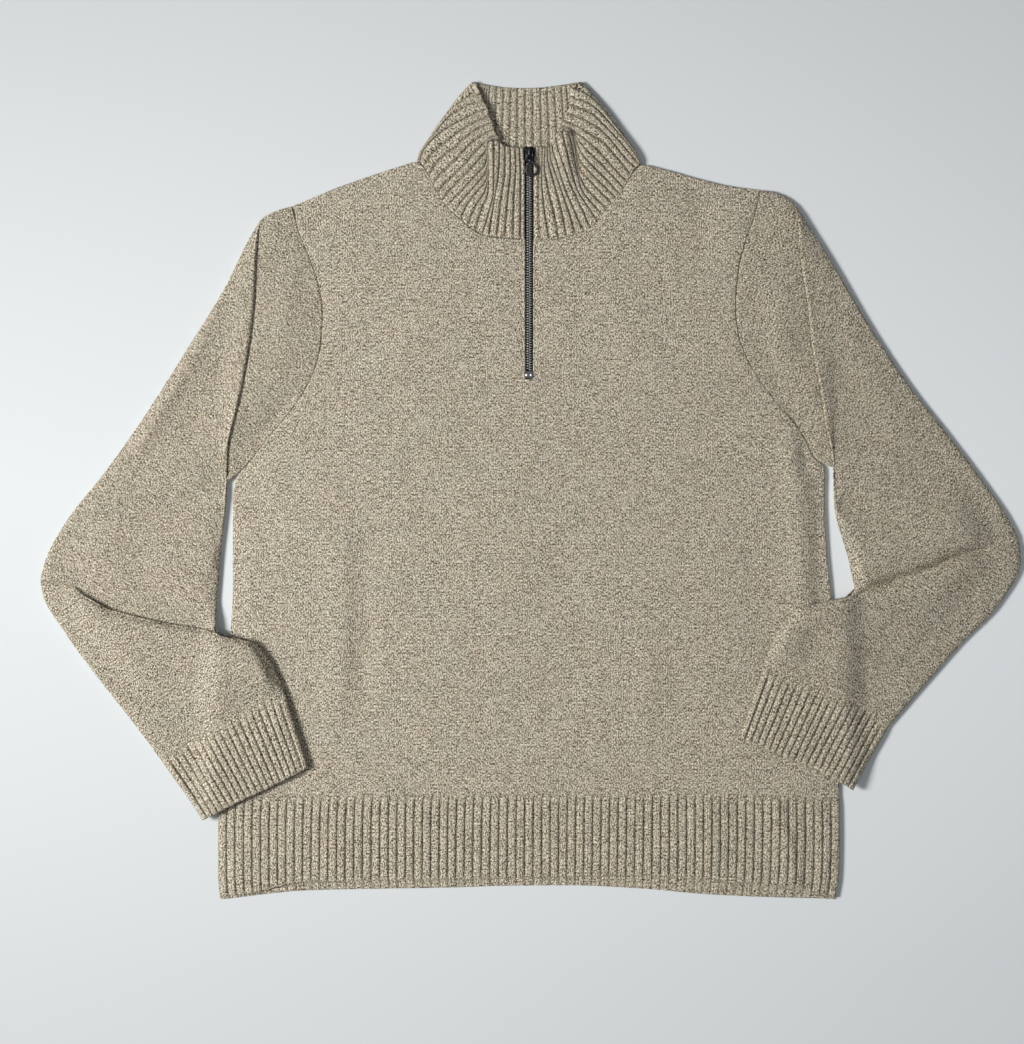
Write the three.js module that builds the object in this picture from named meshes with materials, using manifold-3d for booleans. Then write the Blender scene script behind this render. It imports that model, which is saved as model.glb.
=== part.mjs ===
// Quarter zip sweater laid flat on a table, front up. Millimetres, +Z up, the neck towards +Y.
// Plan tables are in steps of a square layout grid: STEP mm a step, x to the right, y down the page, as the
// garment is seen from above. Each panel is a knitted wall; the front lies on the back with a thin gap.
import * as THREE from 'three';
import { mergeVertices } from 'three/addons/utils/BufferGeometryUtils.js';
import Module from 'manifold-3d';

const wasm = await Module();
wasm.setup();

// ---------------------------------------------------------------- driving sizes (mm unless said)
const STEP = 0.94;            // one plan step
const CX = 530.8, CY = 490.77;  // plan point that sits at the frame's origin
const JERSEY = 2.2;           // plain knit wall
const RIB = 3.0;              // rib wall
const SEAM = 0.34;            // gap between joined pieces
const EDGE_Z = 2.55;          // underside of the front where it meets the back at a side
const LIFT_Z = 4.8;           // underside of the front away from its sides
const RISE = 22;              // how far from a side the front takes to rise
const TUBE_H = 6.8;           // sleeve laid flat: two walls and the gap
const CUFF_H = 8.0;           // cuff laid flat
const OVER_Z = 8.1;           // underside of a forearm where it crosses the body
const COLLAR_TOP_Z = 6.8;     // underside of the collar front at its top edge
const COLLAR_BACK = 180;      // plan y of the back neck seam at the centre
const CHAIN_X = 529.2;        // plan x of the zip
const CHAIN_W = 6.4, CHAIN_H = 2.5;
const TAPE_W = 12.2, TAPE_T = 1.0;
const STOP_TOP = 371, STOP_END = 378.6;
const SLIDER_Y = 155, SLIDER_L = 15, SLIDER_W = 8.2, SLIDER_H = 3.8;
const AXIS_Y = 152.5, AXIS_UP = 1.9; // pull tab hinge: plan y, height over the slider's top
const PULL_SKEW = 8.7 * Math.PI / 180, PULL_DROP = 5.4 * Math.PI / 180;

// ---------------------------------------------------------------- small maths
const X = (px) => (px - CX) * STEP;
const Y = (py) => (CY - py) * STEP;
const clamp = (v, a = 0, b = 1) => Math.min(b, Math.max(a, v));
const smooth = (t) => { t = clamp(t); return t * t * (3 - 2 * t); };
const mix = (a, b, t) => a + (b - a) * t;

// smooth monotone curve through rows of [key, value]
function curve(rows) {
  const n = rows.length, k = rows.map((r) => r[0]), v = rows.map((r) => r[1]);
  const d = [], m = new Array(n).fill(0);
  for (let i = 0; i < n - 1; i++) d.push((v[i + 1] - v[i]) / (k[i + 1] - k[i]));
  for (let i = 1; i < n - 1; i++) {
    if (d[i - 1] * d[i] > 0) {
      const w1 = 2 * (k[i + 1] - k[i]) + (k[i] - k[i - 1]), w2 = (k[i + 1] - k[i]) + 2 * (k[i] - k[i - 1]);
      m[i] = (w1 + w2) / (w1 / d[i - 1] + w2 / d[i]);
    }
  }
  m[0] = d[0]; m[n - 1] = d[n - 2];
  return (x) => {
    if (x <= k[0]) return v[0];
    if (x >= k[n - 1]) return v[n - 1];
    let i = 0;
    while (x > k[i + 1]) i++;
    const h = k[i + 1] - k[i], t = (x - k[i]) / h, t2 = t * t, t3 = t2 * t;
    return v[i] * (2 * t3 - 3 * t2 + 1) + h * m[i] * (t3 - 2 * t2 + t) + v[i + 1] * (3 * t2 - 2 * t3) + h * m[i + 1] * (t3 - t2);
  };
}

function distTo(line, x, y) { // plan steps from a point to a polyline
  let best = 1e9;
  for (let i = 0; i < line.length - 1; i++) {
    const [ax, ay] = line[i], [bx, by] = line[i + 1], dx = bx - ax, dy = by - ay;
    const t = clamp(((x - ax) * dx + (y - ay) * dy) / (dx * dx + dy * dy));
    best = Math.min(best, Math.hypot(x - ax - t * dx, y - ay - t * dy));
  }
  return best;
}

// ---------------------------------------------------------------- outline tables, columns [plan y, plan x]
const leftEdge = curve([ // armhole, underarm, side, hem
  [206, 292], [232, 299], [260, 310.5], [284, 318.5], [310, 323], [340, 321.5], [367, 315.5], [390, 305], [414, 288],
  [438, 268], [458, 252], [466, 246.5], [471, 242.5], [477, 238], [486, 235.5], [500, 233], [545, 232.5], [590, 232.5],
  [635, 230], [700, 226.5], [797, 219.5], [830, 218], [875, 218], [900, 220]]);
const rightEdge = curve([
  [190, 761], [215, 754.5], [238, 746.5], [270, 738.5], [307, 735.6], [332, 738], [356, 746], [380, 760], [406, 779.5],
  [424, 795], [437, 804], [446, 807.5], [452, 808.5], [458, 811], [463, 818], [467, 823.5], [473, 825.5], [500, 825],
  [530, 826], [560, 828], [590, 831], [650, 834], [720, 837], [793, 839.5], [830, 840], [875, 839], [900, 835]]);
// columns [plan x, plan y]
const SHOULDER_L = [[292, 206], [312, 197.5], [344, 184.5], [376, 173.5], [400, 166.5], [416, 164]];
const SHOULDER_R = [[640, 164], [664, 169], [696, 178], [728, 185.5], [761, 190]];
const NECK_FRONT = [[416, 166], [422, 179], [430, 191], [440, 203], [452, 213.5], [470, 225], [487, 233], [505, 237.5],
  [524, 239], [534.5, 239], [556, 237.5], [575, 233], [592, 226.5], [608, 214.5], [621, 199], [632, 182], [640, 165.5]];
const frontTop = curve([...SHOULDER_L.slice(0, 5), ...NECK_FRONT, ...SHOULDER_R.slice(1)]);
const backTop = curve([...SHOULDER_L.slice(0, 5), [416, 168], [440, 174], [480, 178.5], [530, COLLAR_BACK], [580, 178.5],
  [616, 173], [640, 167], ...SHOULDER_R.slice(1)]);
const hemSeam = curve([[219, 797], [360, 796], [530, 794.5], [700, 793.5], [780, 795.5], [840, 799]]);
const hemFront = curve([[220, 897], [250, 893.5], [308, 882], [373, 881], [460, 880], [500, 878], [569, 877],
  [638, 875.5], [707, 879], [752, 883.5], [798, 889], [817, 895], [835, 898]]);
const hemBack = curve([[220, 900], [308, 891], [373, 889.5], [460, 888], [500, 886.5], [569, 886], [638, 889],
  [707, 895], [775, 898], [817, 899], [835, 900]]);
const UNDERARM = [466, 446];  // plan y of the underarm, left and right
const SHOULDER_TIP = [206, 190];

// ---------------------------------------------------------------- height of the front's underside
const SIDES = [SHOULDER_L, SHOULDER_R,
  [[243, 471], [235.5, 486], [233, 500], [232.5, 590], [230, 635], [219.5, 797], [218, 840], [218, 900]],
  [[811, 458], [818, 463], [825.5, 473], [825, 500], [831, 590], [839.5, 793], [840, 840], [837, 900]]];
function frontZ(px, py) {
  let d = 1e9;
  for (const s of SIDES) d = Math.min(d, distTo(s, px, py) * STEP);
  return mix(EDGE_Z, LIFT_Z, smooth(d / RISE));
}
const zipZ = (py) => mix(COLLAR_TOP_Z, LIFT_Z, clamp((py - 150) / 95)); // underside of whatever carries the zip

// ---------------------------------------------------------------- mesh makers
function geometry(verts, tris) {
  let v6 = 0;
  for (const [a, b, c] of tris) {
    const [x1, y1, z1] = verts[a], [x2, y2, z2] = verts[b], [x3, y3, z3] = verts[c];
    v6 += x1 * (y2 * z3 - z2 * y3) - y1 * (x2 * z3 - z2 * x3) + z1 * (x2 * y3 - y2 * x3);
  }
  const g = new THREE.BufferGeometry();
  g.setAttribute('position', new THREE.Float32BufferAttribute(verts.flat(), 3));
  g.setIndex((v6 < 0 ? tris.map(([a, b, c]) => [a, c, b]) : tris).flat());
  return g;
}
// closed slab over a grid of [x, y, zBottom, zTop]
function slab(grid) {
  const n = grid.length, m = grid[0].length, verts = [], tris = [];
  const id = (i, j, s) => (i * m + j) * 2 + s;
  for (const row of grid) for (const [x, y, zb, zt] of row) verts.push([x, y, zb], [x, y, zt]);
  const quad = (a, b, c, d) => tris.push([a, b, c], [a, c, d]);
  for (let i = 0; i < n - 1; i++) for (let j = 0; j < m - 1; j++) {
    quad(id(i, j, 1), id(i + 1, j, 1), id(i + 1, j + 1, 1), id(i, j + 1, 1));
    quad(id(i, j, 0), id(i, j + 1, 0), id(i + 1, j + 1, 0), id(i + 1, j, 0));
  }
  for (let i = 0; i < n - 1; i++) {
    quad(id(i, 0, 0), id(i + 1, 0, 0), id(i + 1, 0, 1), id(i, 0, 1));
    quad(id(i, m - 1, 0), id(i, m - 1, 1), id(i + 1, m - 1, 1), id(i + 1, m - 1, 0));
  }
  for (let j = 0; j < m - 1; j++) {
    quad(id(0, j, 0), id(0, j, 1), id(0, j + 1, 1), id(0, j + 1, 0));
    quad(id(n - 1, j, 0), id(n - 1, j + 1, 0), id(n - 1, j + 1, 1), id(n - 1, j, 1));
  }
  return geometry(verts, tris);
}
// open tube with a wall: rings of outer points and inner points, the same count in each
function tube(rings) {
  const n = rings.length, m = rings[0].outer.length, verts = [], tris = [];
  for (const r of rings) for (let k = 0; k < m; k++) verts.push(r.outer[k], r.inner[k]);
  const id = (i, k, s) => (i * m + (k % m)) * 2 + s;
  const quad = (a, b, c, d) => tris.push([a, b, c], [a, c, d]);
  for (let i = 0; i < n - 1; i++) for (let k = 0; k < m; k++) {
    quad(id(i, k, 0), id(i + 1, k, 0), id(i + 1, k + 1, 0), id(i, k + 1, 0));
    quad(id(i, k, 1), id(i, k + 1, 1), id(i + 1, k + 1, 1), id(i + 1, k, 1));
  }
  for (let k = 0; k < m; k++) {
    quad(id(0, k, 0), id(0, k + 1, 0), id(0, k + 1, 1), id(0, k, 1));
    quad(id(n - 1, k, 0), id(n - 1, k, 1), id(n - 1, k + 1, 1), id(n - 1, k + 1, 0));
  }
  return geometry(verts, tris);
}
function toManifold(g) {
  const c = g.clone();
  c.deleteAttribute('normal'); c.deleteAttribute('uv');
  const m = mergeVertices(c, 1e-4);
  return new wasm.Manifold(new wasm.Mesh({
    numProp: 3,
    vertProperties: new Float32Array(m.attributes.position.array),
    triVerts: new Uint32Array(m.index.array),
  }));
}
function fromManifold(m) {
  const k = m.getMesh(), p = [];
  for (let i = 0; i < k.vertProperties.length; i += k.numProp) p.push(k.vertProperties[i], k.vertProperties[i + 1], k.vertProperties[i + 2]);
  const g = new THREE.BufferGeometry();
  g.setAttribute('position', new THREE.Float32BufferAttribute(p, 3));
  g.setIndex(Array.from(k.triVerts));
  return g;
}

// ---------------------------------------------------------------- body panels
const HEIGHTS = [0, 0.04, 0.1, 0.2, 0.3, 0.4, 0.5, 0.6, 0.7, 0.8, 0.9, 0.96, 1]; // share of the armhole, from the underarm up
const LOWER = [0, 0.2, 0.42, 0.64, 0.8, 0.91, 0.955, 0.98];                         // share from the hem to the underarm
const ROWS = [...LOWER.map((s) => [0, s]), ...HEIGHTS.map((s) => [1, s])];
function panelPoint(xTop, row, top) {
  const u = (xTop - leftEdge(SHOULDER_TIP[0])) / (rightEdge(SHOULDER_TIP[1]) - leftEdge(SHOULDER_TIP[0]));
  const yArm = mix(UNDERARM[0], UNDERARM[1], u);
  let py, px;
  const hemX = mix(leftEdge(797), rightEdge(797), u);
  if (row[0] === 0) py = mix(hemSeam(hemX), yArm, row[1]);
  else py = mix(yArm, top(xTop), row[1]);
  px = mix(leftEdge(py), rightEdge(py), u);
  if (row[0] === 1) px += row[1] * row[1] * (xTop - mix(leftEdge(top(xTop)), rightEdge(top(xTop)), u));
  return [px, py];
}
const FRONT_COLS = [292, 303, 318, 345, 375, 400, ...NECK_FRONT.map((r) => r[0]), 650, 675, 705, 735, 751, 761];
const BACK_COLS = [292, 303, 330, 370, 400, 440, 485, 530, 575, 620, 660, 700, 730, 751, 761];

function bodyFront() {
  const grid = ROWS.map((row) => FRONT_COLS.map((c) => {
    const [px, py] = panelPoint(c, row, frontTop), zb = frontZ(px, py);
    return [X(px), Y(py), zb, zb + JERSEY];
  }));
  const slot = new THREE.BoxGeometry((534.5 - 524) * STEP, 300 * STEP, 40);
  slot.translate((X(524) + X(534.5)) / 2, Y(379.2) + 150 * STEP, 0);
  return fromManifold(toManifold(slab(grid)).subtract(toManifold(slot)));
}
function bodyBack() {
  return slab(ROWS.map((row) => BACK_COLS.map((c) => {
    const [px, py] = panelPoint(c, row, backTop);
    return [X(px), Y(py), 0, JERSEY];
  })));
}
function hem(edge, top, cols) {
  const grid = [];
  for (const s of [0, 0.12, 0.4, 0.7, 1]) {
    grid.push(Array.from({ length: cols + 1 }, (_, i) => {
      const u = i / cols, x0 = mix(leftEdge(797), rightEdge(797), u);
      const py = mix(hemSeam(x0) + SEAM / STEP, edge(mix(220, 835, u)), s);
      const px = mix(leftEdge(py), rightEdge(py), u);
      const zb = top ? frontZ(px, py) - 0.25 + 0.95 * smooth(1 - Math.min(px - leftEdge(py), rightEdge(py) - px) / 20) : 0;
      return [X(px), Y(py), zb, zb + RIB];
    }));
  }
  return slab(grid);
}

// ---------------------------------------------------------------- sleeves
const W = [0, 0.04, 0.1, 0.2, 0.3, 0.4, 0.5, 0.6, 0.7, 0.8, 0.9, 0.96, 1]; // across a flat ring, outer edge first
// a ring lies across the sleeve: outer edge point, inner edge point, bow (steps, + bends it towards the body or the
// cuff), lap (mm that a fold stands up), lapFrom (share across where that fold begins)
const CAP_LEFT = [ // outerX, outerY, innerX, innerY, share of the way from the armhole to the fold
  [283.5, 208, 240.5, 469.2, 0.28], [274, 211.5, 233.5, 475, 0.6], [264.5, 216.2, 227.8, 484, 0.94]];
const SLEEVE_LEFT = [ // outerX, outerY, innerX, innerY, bow, lap, lapFrom
  [262.2, 218, 226, 487, 6.5, 2.7, 0],
  [253, 231, 225.6, 496, 4, 2.5, 0],
  [223, 290, 224.8, 510, 2, 1.2, 0],
  [186, 350, 223.2, 527, 0, 0, 0],
  [148, 410, 221, 548, 0, 0, 0],
  [106, 470, 219.5, 568, 0, 0, 0],
  [66, 521, 217.8, 590, 0, 0, 0],
  [46.5, 556, 216.4, 611, 3, 0, 0],
  [40.3, 578, 216, 631.5, 7.5, 0, 0],
  [40, 580, 226.5, 634.8, 8.5, 1.2, 0.2],
  [40, 583, 257, 643, 9, 2.7, 0.2],
  [41.5, 593, 261.5, 648, 6, 2.7, 0.1],
  [66, 635, 268.5, 657.5, 2, 1.8, 0],
  [99, 680, 275.5, 669.5, 0, 0, 0],
  [132, 722, 281, 682, 0, 0, 0],
  [161, 760.5, 286, 693.5, 0, 0, 0]];
const CUFF_LEFT = [[161.4, 761.2, 286.3, 694.2, 0, 0, 0], [183, 790, 298, 728, 0, 0, 0], [203.7, 820, 309.5, 764, 0, 0, 0]];
const CAP_RIGHT = [[770, 190.8, 811.2, 452, 0.25], [781.5, 194.5, 820, 456.8, 0.55], [795.2, 204, 831.6, 463.4, 0.94]];
const SLEEVE_RIGHT = [
  [797.6, 207, 834, 466.5, 5, 2.7, 0],
  [806.5, 221, 834.3, 478, 3, 2.5, 0],
  [836, 268, 834.3, 493, 2, 1.2, 0],
  [872, 329, 835, 509, 0, 0, 0],
  [911, 387, 838.5, 525, 0, 0, 0],
  [951, 438, 844, 543, 0, 0, 0],
  [986, 484.5, 849, 560, 0, 0, 0],
  [1010, 520, 852, 576, 0, 0, 0],
  [1018.6, 540, 854.6, 592, 3, 0, 0],
  [1019.6, 543, 836, 596.6, 3, 1.2, 0.2],
  [1020.8, 547, 794.8, 607, 3, 2.7, 0.2],
  [1021.6, 561, 788.5, 612.5, 2, 2.7, 0.1],
  [1000, 604, 779, 629, 0, 1.8, 0],
  [962, 643.5, 772.5, 641.5, 0, 0, 0],
  [928, 682, 767, 655, 0, 0, 0],
  [889, 729.5, 762, 668.5, 0, 0, 0]];
const CUFF_RIGHT = [[888.6, 730.3, 761.7, 669.3, 0, 0, 0], [871, 758, 749.5, 703, 0, 0, 0], [853.5, 789.5, 737, 736, 0, 0, 0]];

// underside of a sleeve: on the table, and over the body's side where the forearm crosses it
function sleeveZ(side, px, py) {
  const inside = side < 0 ? px - leftEdge(py) : rightEdge(py) - px; // steps past the body's side
  const from = side < 0 ? 598 : 566;                                 // where the forearm begins
  return OVER_Z * smooth((inside + 34) / 29) * smooth((py - from) / 30);
}
function ring(side, points, height, wall, lap, lapFrom) {
  // points: plan points across the flat ring; returns outer and inner loops
  const n = points.length, outer = [], inner = [], len = [0];
  for (let i = 1; i < n; i++) len.push(len[i - 1] + Math.hypot(points[i][0] - points[i - 1][0], points[i][1] - points[i - 1][1]) * STEP);
  const L = len[n - 1], round = (d, r) => { const t = clamp(d / r); return Math.sqrt(clamp(1 - (1 - t) * (1 - t))); };
  const pointAt = (s) => {
    let i = 0;
    while (i < n - 2 && s > len[i + 1]) i++;
    const t = (s - len[i]) / (len[i + 1] - len[i]);
    return [mix(points[i][0], points[i + 1][0], t), mix(points[i][1], points[i + 1][1], t)];
  };
  const up = [], down = [], upIn = [], downIn = [];
  for (let i = 0; i < n; i++) {
    const s = len[i], d = Math.min(s, L - s), [px, py] = points[i], zb = sleeveZ(side, px, py);
    const f = round(d, 5), rise = lap * (lapFrom ? smooth((s / L - 0.05) / lapFrom) : 1) * round(d, 9);
    up.push([X(px), Y(py), zb + height / 2 + (height / 2) * f + rise]);
    down.push([X(px), Y(py), zb + height / 2 - (height / 2) * f]);
    const si = wall + 0.6 + (s / L) * (L - 2 * wall - 1.2), [qx, qy] = pointAt(si), zi = sleeveZ(side, qx, qy);
    const g = 0.25 + 0.75 * round(Math.min(si - wall, L - wall - si), 5), half = height / 2 - wall;
    upIn.push([X(qx), Y(qy), zi + height / 2 + half * g]);
    downIn.push([X(qx), Y(qy), zi + height / 2 - half * g]);
  }
  // loop: along the top, back along the bottom; the end points are shared, so nudge them apart
  const loop = (a, b, e) => {
    const out = a.map((p) => [...p]);
    for (let i = n - 1; i >= 0; i--) out.push([...b[i]]);
    out[0][2] += e; out[n - 1][2] += e; out[n][2] -= e; out[2 * n - 1][2] -= e;
    return out;
  };
  return { outer: loop(up, down, 0.9), inner: loop(upIn, downIn, 0.0) };
}
const rowPoints = ([ox, oy, ix, iy, bow]) => {
  const L = Math.hypot(ix - ox, iy - oy);
  let nx = -(iy - oy) / L, ny = (ix - ox) / L;
  if (Math.abs(iy - oy) > Math.abs(ix - ox)) { const s = Math.sign(nx) * Math.sign(530 - ox) || 1; nx *= s; ny *= s; } // towards the body
  else if (ny < 0) { nx = -nx; ny = -ny; }                                          // towards the cuff
  return W.map((w) => [mix(ox, ix, w) + nx * bow * 4 * w * (1 - w), mix(oy, iy, w) + ny * bow * 4 * w * (1 - w)]);
};
function armhole(side) { // the sleeve's first ring follows the panel's own edge, a seam's gap away
  const k = side < 0 ? 0 : 1, edge = side < 0 ? leftEdge : rightEdge;
  return W.map((w) => {
    const py = mix(SHOULDER_TIP[k], UNDERARM[k], w);
    return [edge(py) + side * (0.75 + 0.6 * Math.abs(w - 0.6)), py];
  });
}
function sleeve(side, cap, table) {
  const hole = armhole(side), fold = rowPoints(table[0]), rings = [ring(side, hole, TUBE_H, JERSEY, 0, 0)];
  for (const [ox, oy, ix, iy, f] of cap) { // between the armhole's curve and the fold's, with ends of their own
    const p = W.map((w, i) => [mix(hole[i][0], fold[i][0], f), mix(hole[i][1], fold[i][1], f)]), q = p[W.length - 1];
    const d = [ox - p[0][0], oy - p[0][1], ix - q[0], iy - q[1]];
    rings.push(ring(side, p.map(([x, y], i) => [x + mix(d[0], d[2], W[i]), y + mix(d[1], d[3], W[i])]), TUBE_H, JERSEY, 0, 0));
  }
  for (const r of table) rings.push(ring(side, rowPoints(r), TUBE_H, JERSEY, r[5], r[6]));
  return tube(rings);
}
function cuff(side, table) {
  return tube(table.map((r) => ring(side, rowPoints(r), CUFF_H, RIB, 0, 0)));
}

// ---------------------------------------------------------------- collar
// stations along the strip, from the zip's left edge round the back to its right edge: seam point, top edge point,
// layer (1 front, 0 back, between: the turn), lift (mm the top edge stands off)
const COLLAR = [ // seamX, seamY, edgeX, edgeY, layer, lift
  [524, 238.2, 524, 150, 1, 0], [505, 236.8, 508, 149, 1, 0], [487, 232.2, 499, 147.5, 1, 0], [470, 224.2, 495, 141, 1, 0],
  [452, 212.8, 494, 131, 1, 0], [440, 202.4, 490.5, 119.5, 1, 0], [430.6, 190.4, 485.5, 106.5, 1, 0],
  [422.8, 178.6, 479, 94.5, 1, 0], [418.4, 169.5, 474, 86.5, 0.93, 0], [416.2, 164.6, 471.4, 83, 0.5, 0],
  [417.6, 166.2, 473.2, 83.6, 0.07, 0], [424, 169.6, 478, 84.6, 0, 0], [440, 173.2, 487, 86, 0, 0],
  [480, 177.7, 507, 88, 0, 0], [530, 179.2, 527, 88.4, 0, 0], [580, 177.7, 548, 88, 0, 0], [616, 172.2, 566, 86, 0, 0],
  [632, 168, 574, 84.4, 0, 0], [638.4, 165.4, 578.8, 83.2, 0.07, 0], [639.8, 163.6, 580.6, 82.4, 0.5, 0],
  [637.2, 168.5, 578, 86.5, 0.93, 0], [632, 181, 573.5, 96, 1, 0], [621, 198, 568.5, 112, 1, 0], [608, 213.6, 568, 125, 1, 0.3],
  [592, 225.6, 571.5, 131.5, 1, 1.4], [575, 232, 565, 129.5, 1, 2.0], [556, 236.6, 553, 137, 1, 1.0], [534.6, 238.2, 536, 150, 1, 0]];
function collar() {
  const rows = [0, 0.2, 0.45, 0.7, 0.88, 1], mid = [];
  for (const [sx, sy, ex, ey, layer, lift] of COLLAR) {
    mid.push(rows.map((t) => {
      const px = mix(sx, ex, t), py = mix(sy, ey, t);
      const front = mix(LIFT_Z, COLLAR_TOP_Z, t) + RIB / 2 + lift * t * t, back = RIB / 2;
      return new THREE.Vector3(X(px), Y(py), mix(back, front, layer));
    }));
  }
  const n = mid.length, m = rows.length, grid = { a: [], b: [] };
  for (let i = 0; i < n; i++) {
    grid.a.push([]); grid.b.push([]);
    for (let j = 0; j < m; j++) {
      const along = mid[Math.min(i + 1, n - 1)][j].clone().sub(mid[Math.max(i - 1, 0)][j]);
      const up = mid[i][Math.min(j + 1, m - 1)].clone().sub(mid[i][Math.max(j - 1, 0)]);
      const nrm = along.cross(up).normalize().multiplyScalar(RIB / 2);
      grid.a[i].push(mid[i][j].clone().add(nrm)); grid.b[i].push(mid[i][j].clone().sub(nrm));
    }
  }
  const verts = [], tris = [], id = (i, j, s) => (i * m + j) * 2 + s;
  for (let i = 0; i < n; i++) for (let j = 0; j < m; j++) verts.push(grid.a[i][j].toArray(), grid.b[i][j].toArray());
  const quad = (a, b, c, d) => tris.push([a, b, c], [a, c, d]);
  for (let i = 0; i < n - 1; i++) for (let j = 0; j < m - 1; j++) {
    quad(id(i, j, 0), id(i + 1, j, 0), id(i + 1, j + 1, 0), id(i, j + 1, 0));
    quad(id(i, j, 1), id(i, j + 1, 1), id(i + 1, j + 1, 1), id(i + 1, j, 1));
  }
  for (let i = 0; i < n - 1; i++) {
    quad(id(i, 0, 0), id(i, 0, 1), id(i + 1, 0, 1), id(i + 1, 0, 0));
    quad(id(i, m - 1, 0), id(i + 1, m - 1, 0), id(i + 1, m - 1, 1), id(i, m - 1, 1));
  }
  for (let j = 0; j < m - 1; j++) {
    quad(id(0, j, 0), id(0, j + 1, 0), id(0, j + 1, 1), id(0, j, 1));
    quad(id(n - 1, j, 0), id(n - 1, j, 1), id(n - 1, j + 1, 1), id(n - 1, j + 1, 0));
  }
  return geometry(verts, tris);
}

// ---------------------------------------------------------------- zip
function strip(x0, x1, yTop, yEnd, below, above) { // follows the zip line; below and above are offsets from zipZ
  const ys = [];
  for (let i = 0; i <= 12; i++) ys.push(mix(yEnd, yTop, i / 12));
  if (yEnd > 245 && yTop < 245) ys.push(245);
  ys.sort((a, b) => b - a);
  return slab(ys.map((py) => [x0, x1].map((x) => [x, Y(py), zipZ(py) + below, zipZ(py) + above])));
}
const chainMid = X(CHAIN_X);
const sliderZ = zipZ(147) + 0.05, axisZ = sliderZ + SLIDER_H + AXIS_UP;

function slider() {
  const s = new THREE.Shape(), h = SLIDER_L / 2, w = SLIDER_W / 2;
  s.moveTo(-w + 1, -h); s.lineTo(w - 1, -h); s.lineTo(w - 0.4, -h + 1.2); s.lineTo(w - 0.3, 1.5); s.lineTo(w, 3.2);
  s.lineTo(w, h - 1.6); s.lineTo(w - 1.6, h); s.lineTo(-w + 1.6, h); s.lineTo(-w, h - 1.6); s.lineTo(-w, 3.2);
  s.lineTo(-w + 0.3, 1.5); s.lineTo(-w + 0.4, -h + 1.2);
  const body = new THREE.ExtrudeGeometry(s, { depth: SLIDER_H, bevelEnabled: false });
  const b = new THREE.Shape(); // bridge seen from its side, in y and z over the slider's top, the axis at y 0
  b.moveTo(-4.2, -0.4); b.lineTo(3.9, -0.4); b.lineTo(3.9, 2.6); b.lineTo(2.6, 4.1); b.lineTo(-2.4, 4.1); b.lineTo(-4.2, 2.2);
  const hole = new THREE.Path();
  hole.moveTo(-1.9, 0.35); hole.lineTo(1.9, 0.35); hole.lineTo(1.9, 3.05); hole.lineTo(-1.9, 3.05); hole.closePath();
  b.holes.push(hole);
  const bridge = new THREE.ExtrudeGeometry(b, { depth: 2.0, bevelEnabled: false });
  bridge.rotateX(Math.PI / 2); bridge.rotateZ(Math.PI / 2);          // shape x -> +y, shape y -> +z, depth -> +x
  bridge.translate(-1.0, (SLIDER_Y - AXIS_Y) * STEP, SLIDER_H);
  const m = toManifold(body).add(toManifold(bridge));
  const g = fromManifold(m);
  g.translate(chainMid, Y(SLIDER_Y), sliderZ);
  return g;
}
function pull() { // built lying along -Y from its hinge, then skewed in plan and dropped on the chain
  const plate = new THREE.Shape();
  const c = 17.1, r = 6.35, T = 1.2;
  plate.moveTo(-1.9, -8.2); plate.lineTo(-2.0, -9.6);
  for (let i = 0; i <= 20; i++) { const a = mix(200, 520, i / 20) * Math.PI / 180 - Math.PI / 2 - Math.PI / 2; plate.lineTo(r * Math.cos(a + Math.PI / 2), -c + r * Math.sin(a + Math.PI / 2)); }
  plate.lineTo(2.0, -9.6); plate.lineTo(1.9, -8.2);
  const hole = new THREE.Path();
  hole.absarc(0, -c, 4.25, 0, Math.PI * 2, true);
  plate.holes.push(hole);
  const ringPlate = new THREE.ExtrudeGeometry(plate, { depth: T, bevelEnabled: false, curveSegments: 16 });
  ringPlate.translate(0, 0, -T / 2);
  let m = toManifold(ringPlate);
  const box = (x, y, z, w, h, d) => { const g = new THREE.BoxGeometry(w, h, d); g.translate(x, y, z); return toManifold(g); };
  m = m.add(box(0, -8.0, 0, 6.5, 2.2, T));
  for (const s of [-1, 1]) m = m.add(box(s * 2.6, -3.9, 0, 1.3, 8.6, T));
  let g = fromManifold(m);
  g.rotateZ(PULL_SKEW); g.rotateX(PULL_DROP);
  const bar = new THREE.CylinderGeometry(0.75, 0.75, 6, 14);
  bar.rotateZ(Math.PI / 2);
  g = fromManifold(toManifold(g).add(toManifold(bar)));
  g.translate(chainMid, Y(AXIS_Y), axisZ);
  return g;
}

// ---------------------------------------------------------------- the garment
const KNIT = 0xa8a08d, RIBBED = 0xa0957f, DARK = 0x2a2c2f, TAPE = 0x34332f, STEEL = 0x8d8f92;
const garment = new THREE.Group();
function piece(name, geo, color, roughness, metalness) {
  const g = geo.index ? geo : mergeVertices(geo);
  g.computeVertexNormals();
  const mesh = new THREE.Mesh(g, new THREE.MeshStandardMaterial({ color, roughness, metalness }));
  mesh.name = name;
  garment.add(mesh);
}
piece('body_back', bodyBack(), KNIT, 0.95, 0);
piece('hem_back', hem(hemBack, false, 26), RIBBED, 0.95, 0);
piece('body_front', bodyFront(), KNIT, 0.95, 0);
piece('hem_front', hem(hemFront, true, 26), RIBBED, 0.95, 0);
piece('sleeve_left', sleeve(-1, CAP_LEFT, SLEEVE_LEFT), KNIT, 0.95, 0);
piece('sleeve_right', sleeve(1, CAP_RIGHT, SLEEVE_RIGHT), KNIT, 0.95, 0);
piece('cuff_left', cuff(-1, CUFF_LEFT), RIBBED, 0.95, 0);
piece('cuff_right', cuff(1, CUFF_RIGHT), RIBBED, 0.95, 0);
piece('collar', collar(), RIBBED, 0.95, 0);
piece('zip_tape_left', strip(chainMid - TAPE_W, chainMid - 0.2, 150.5, 384, -0.35 - TAPE_T, -0.35), TAPE, 0.9, 0);
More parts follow.
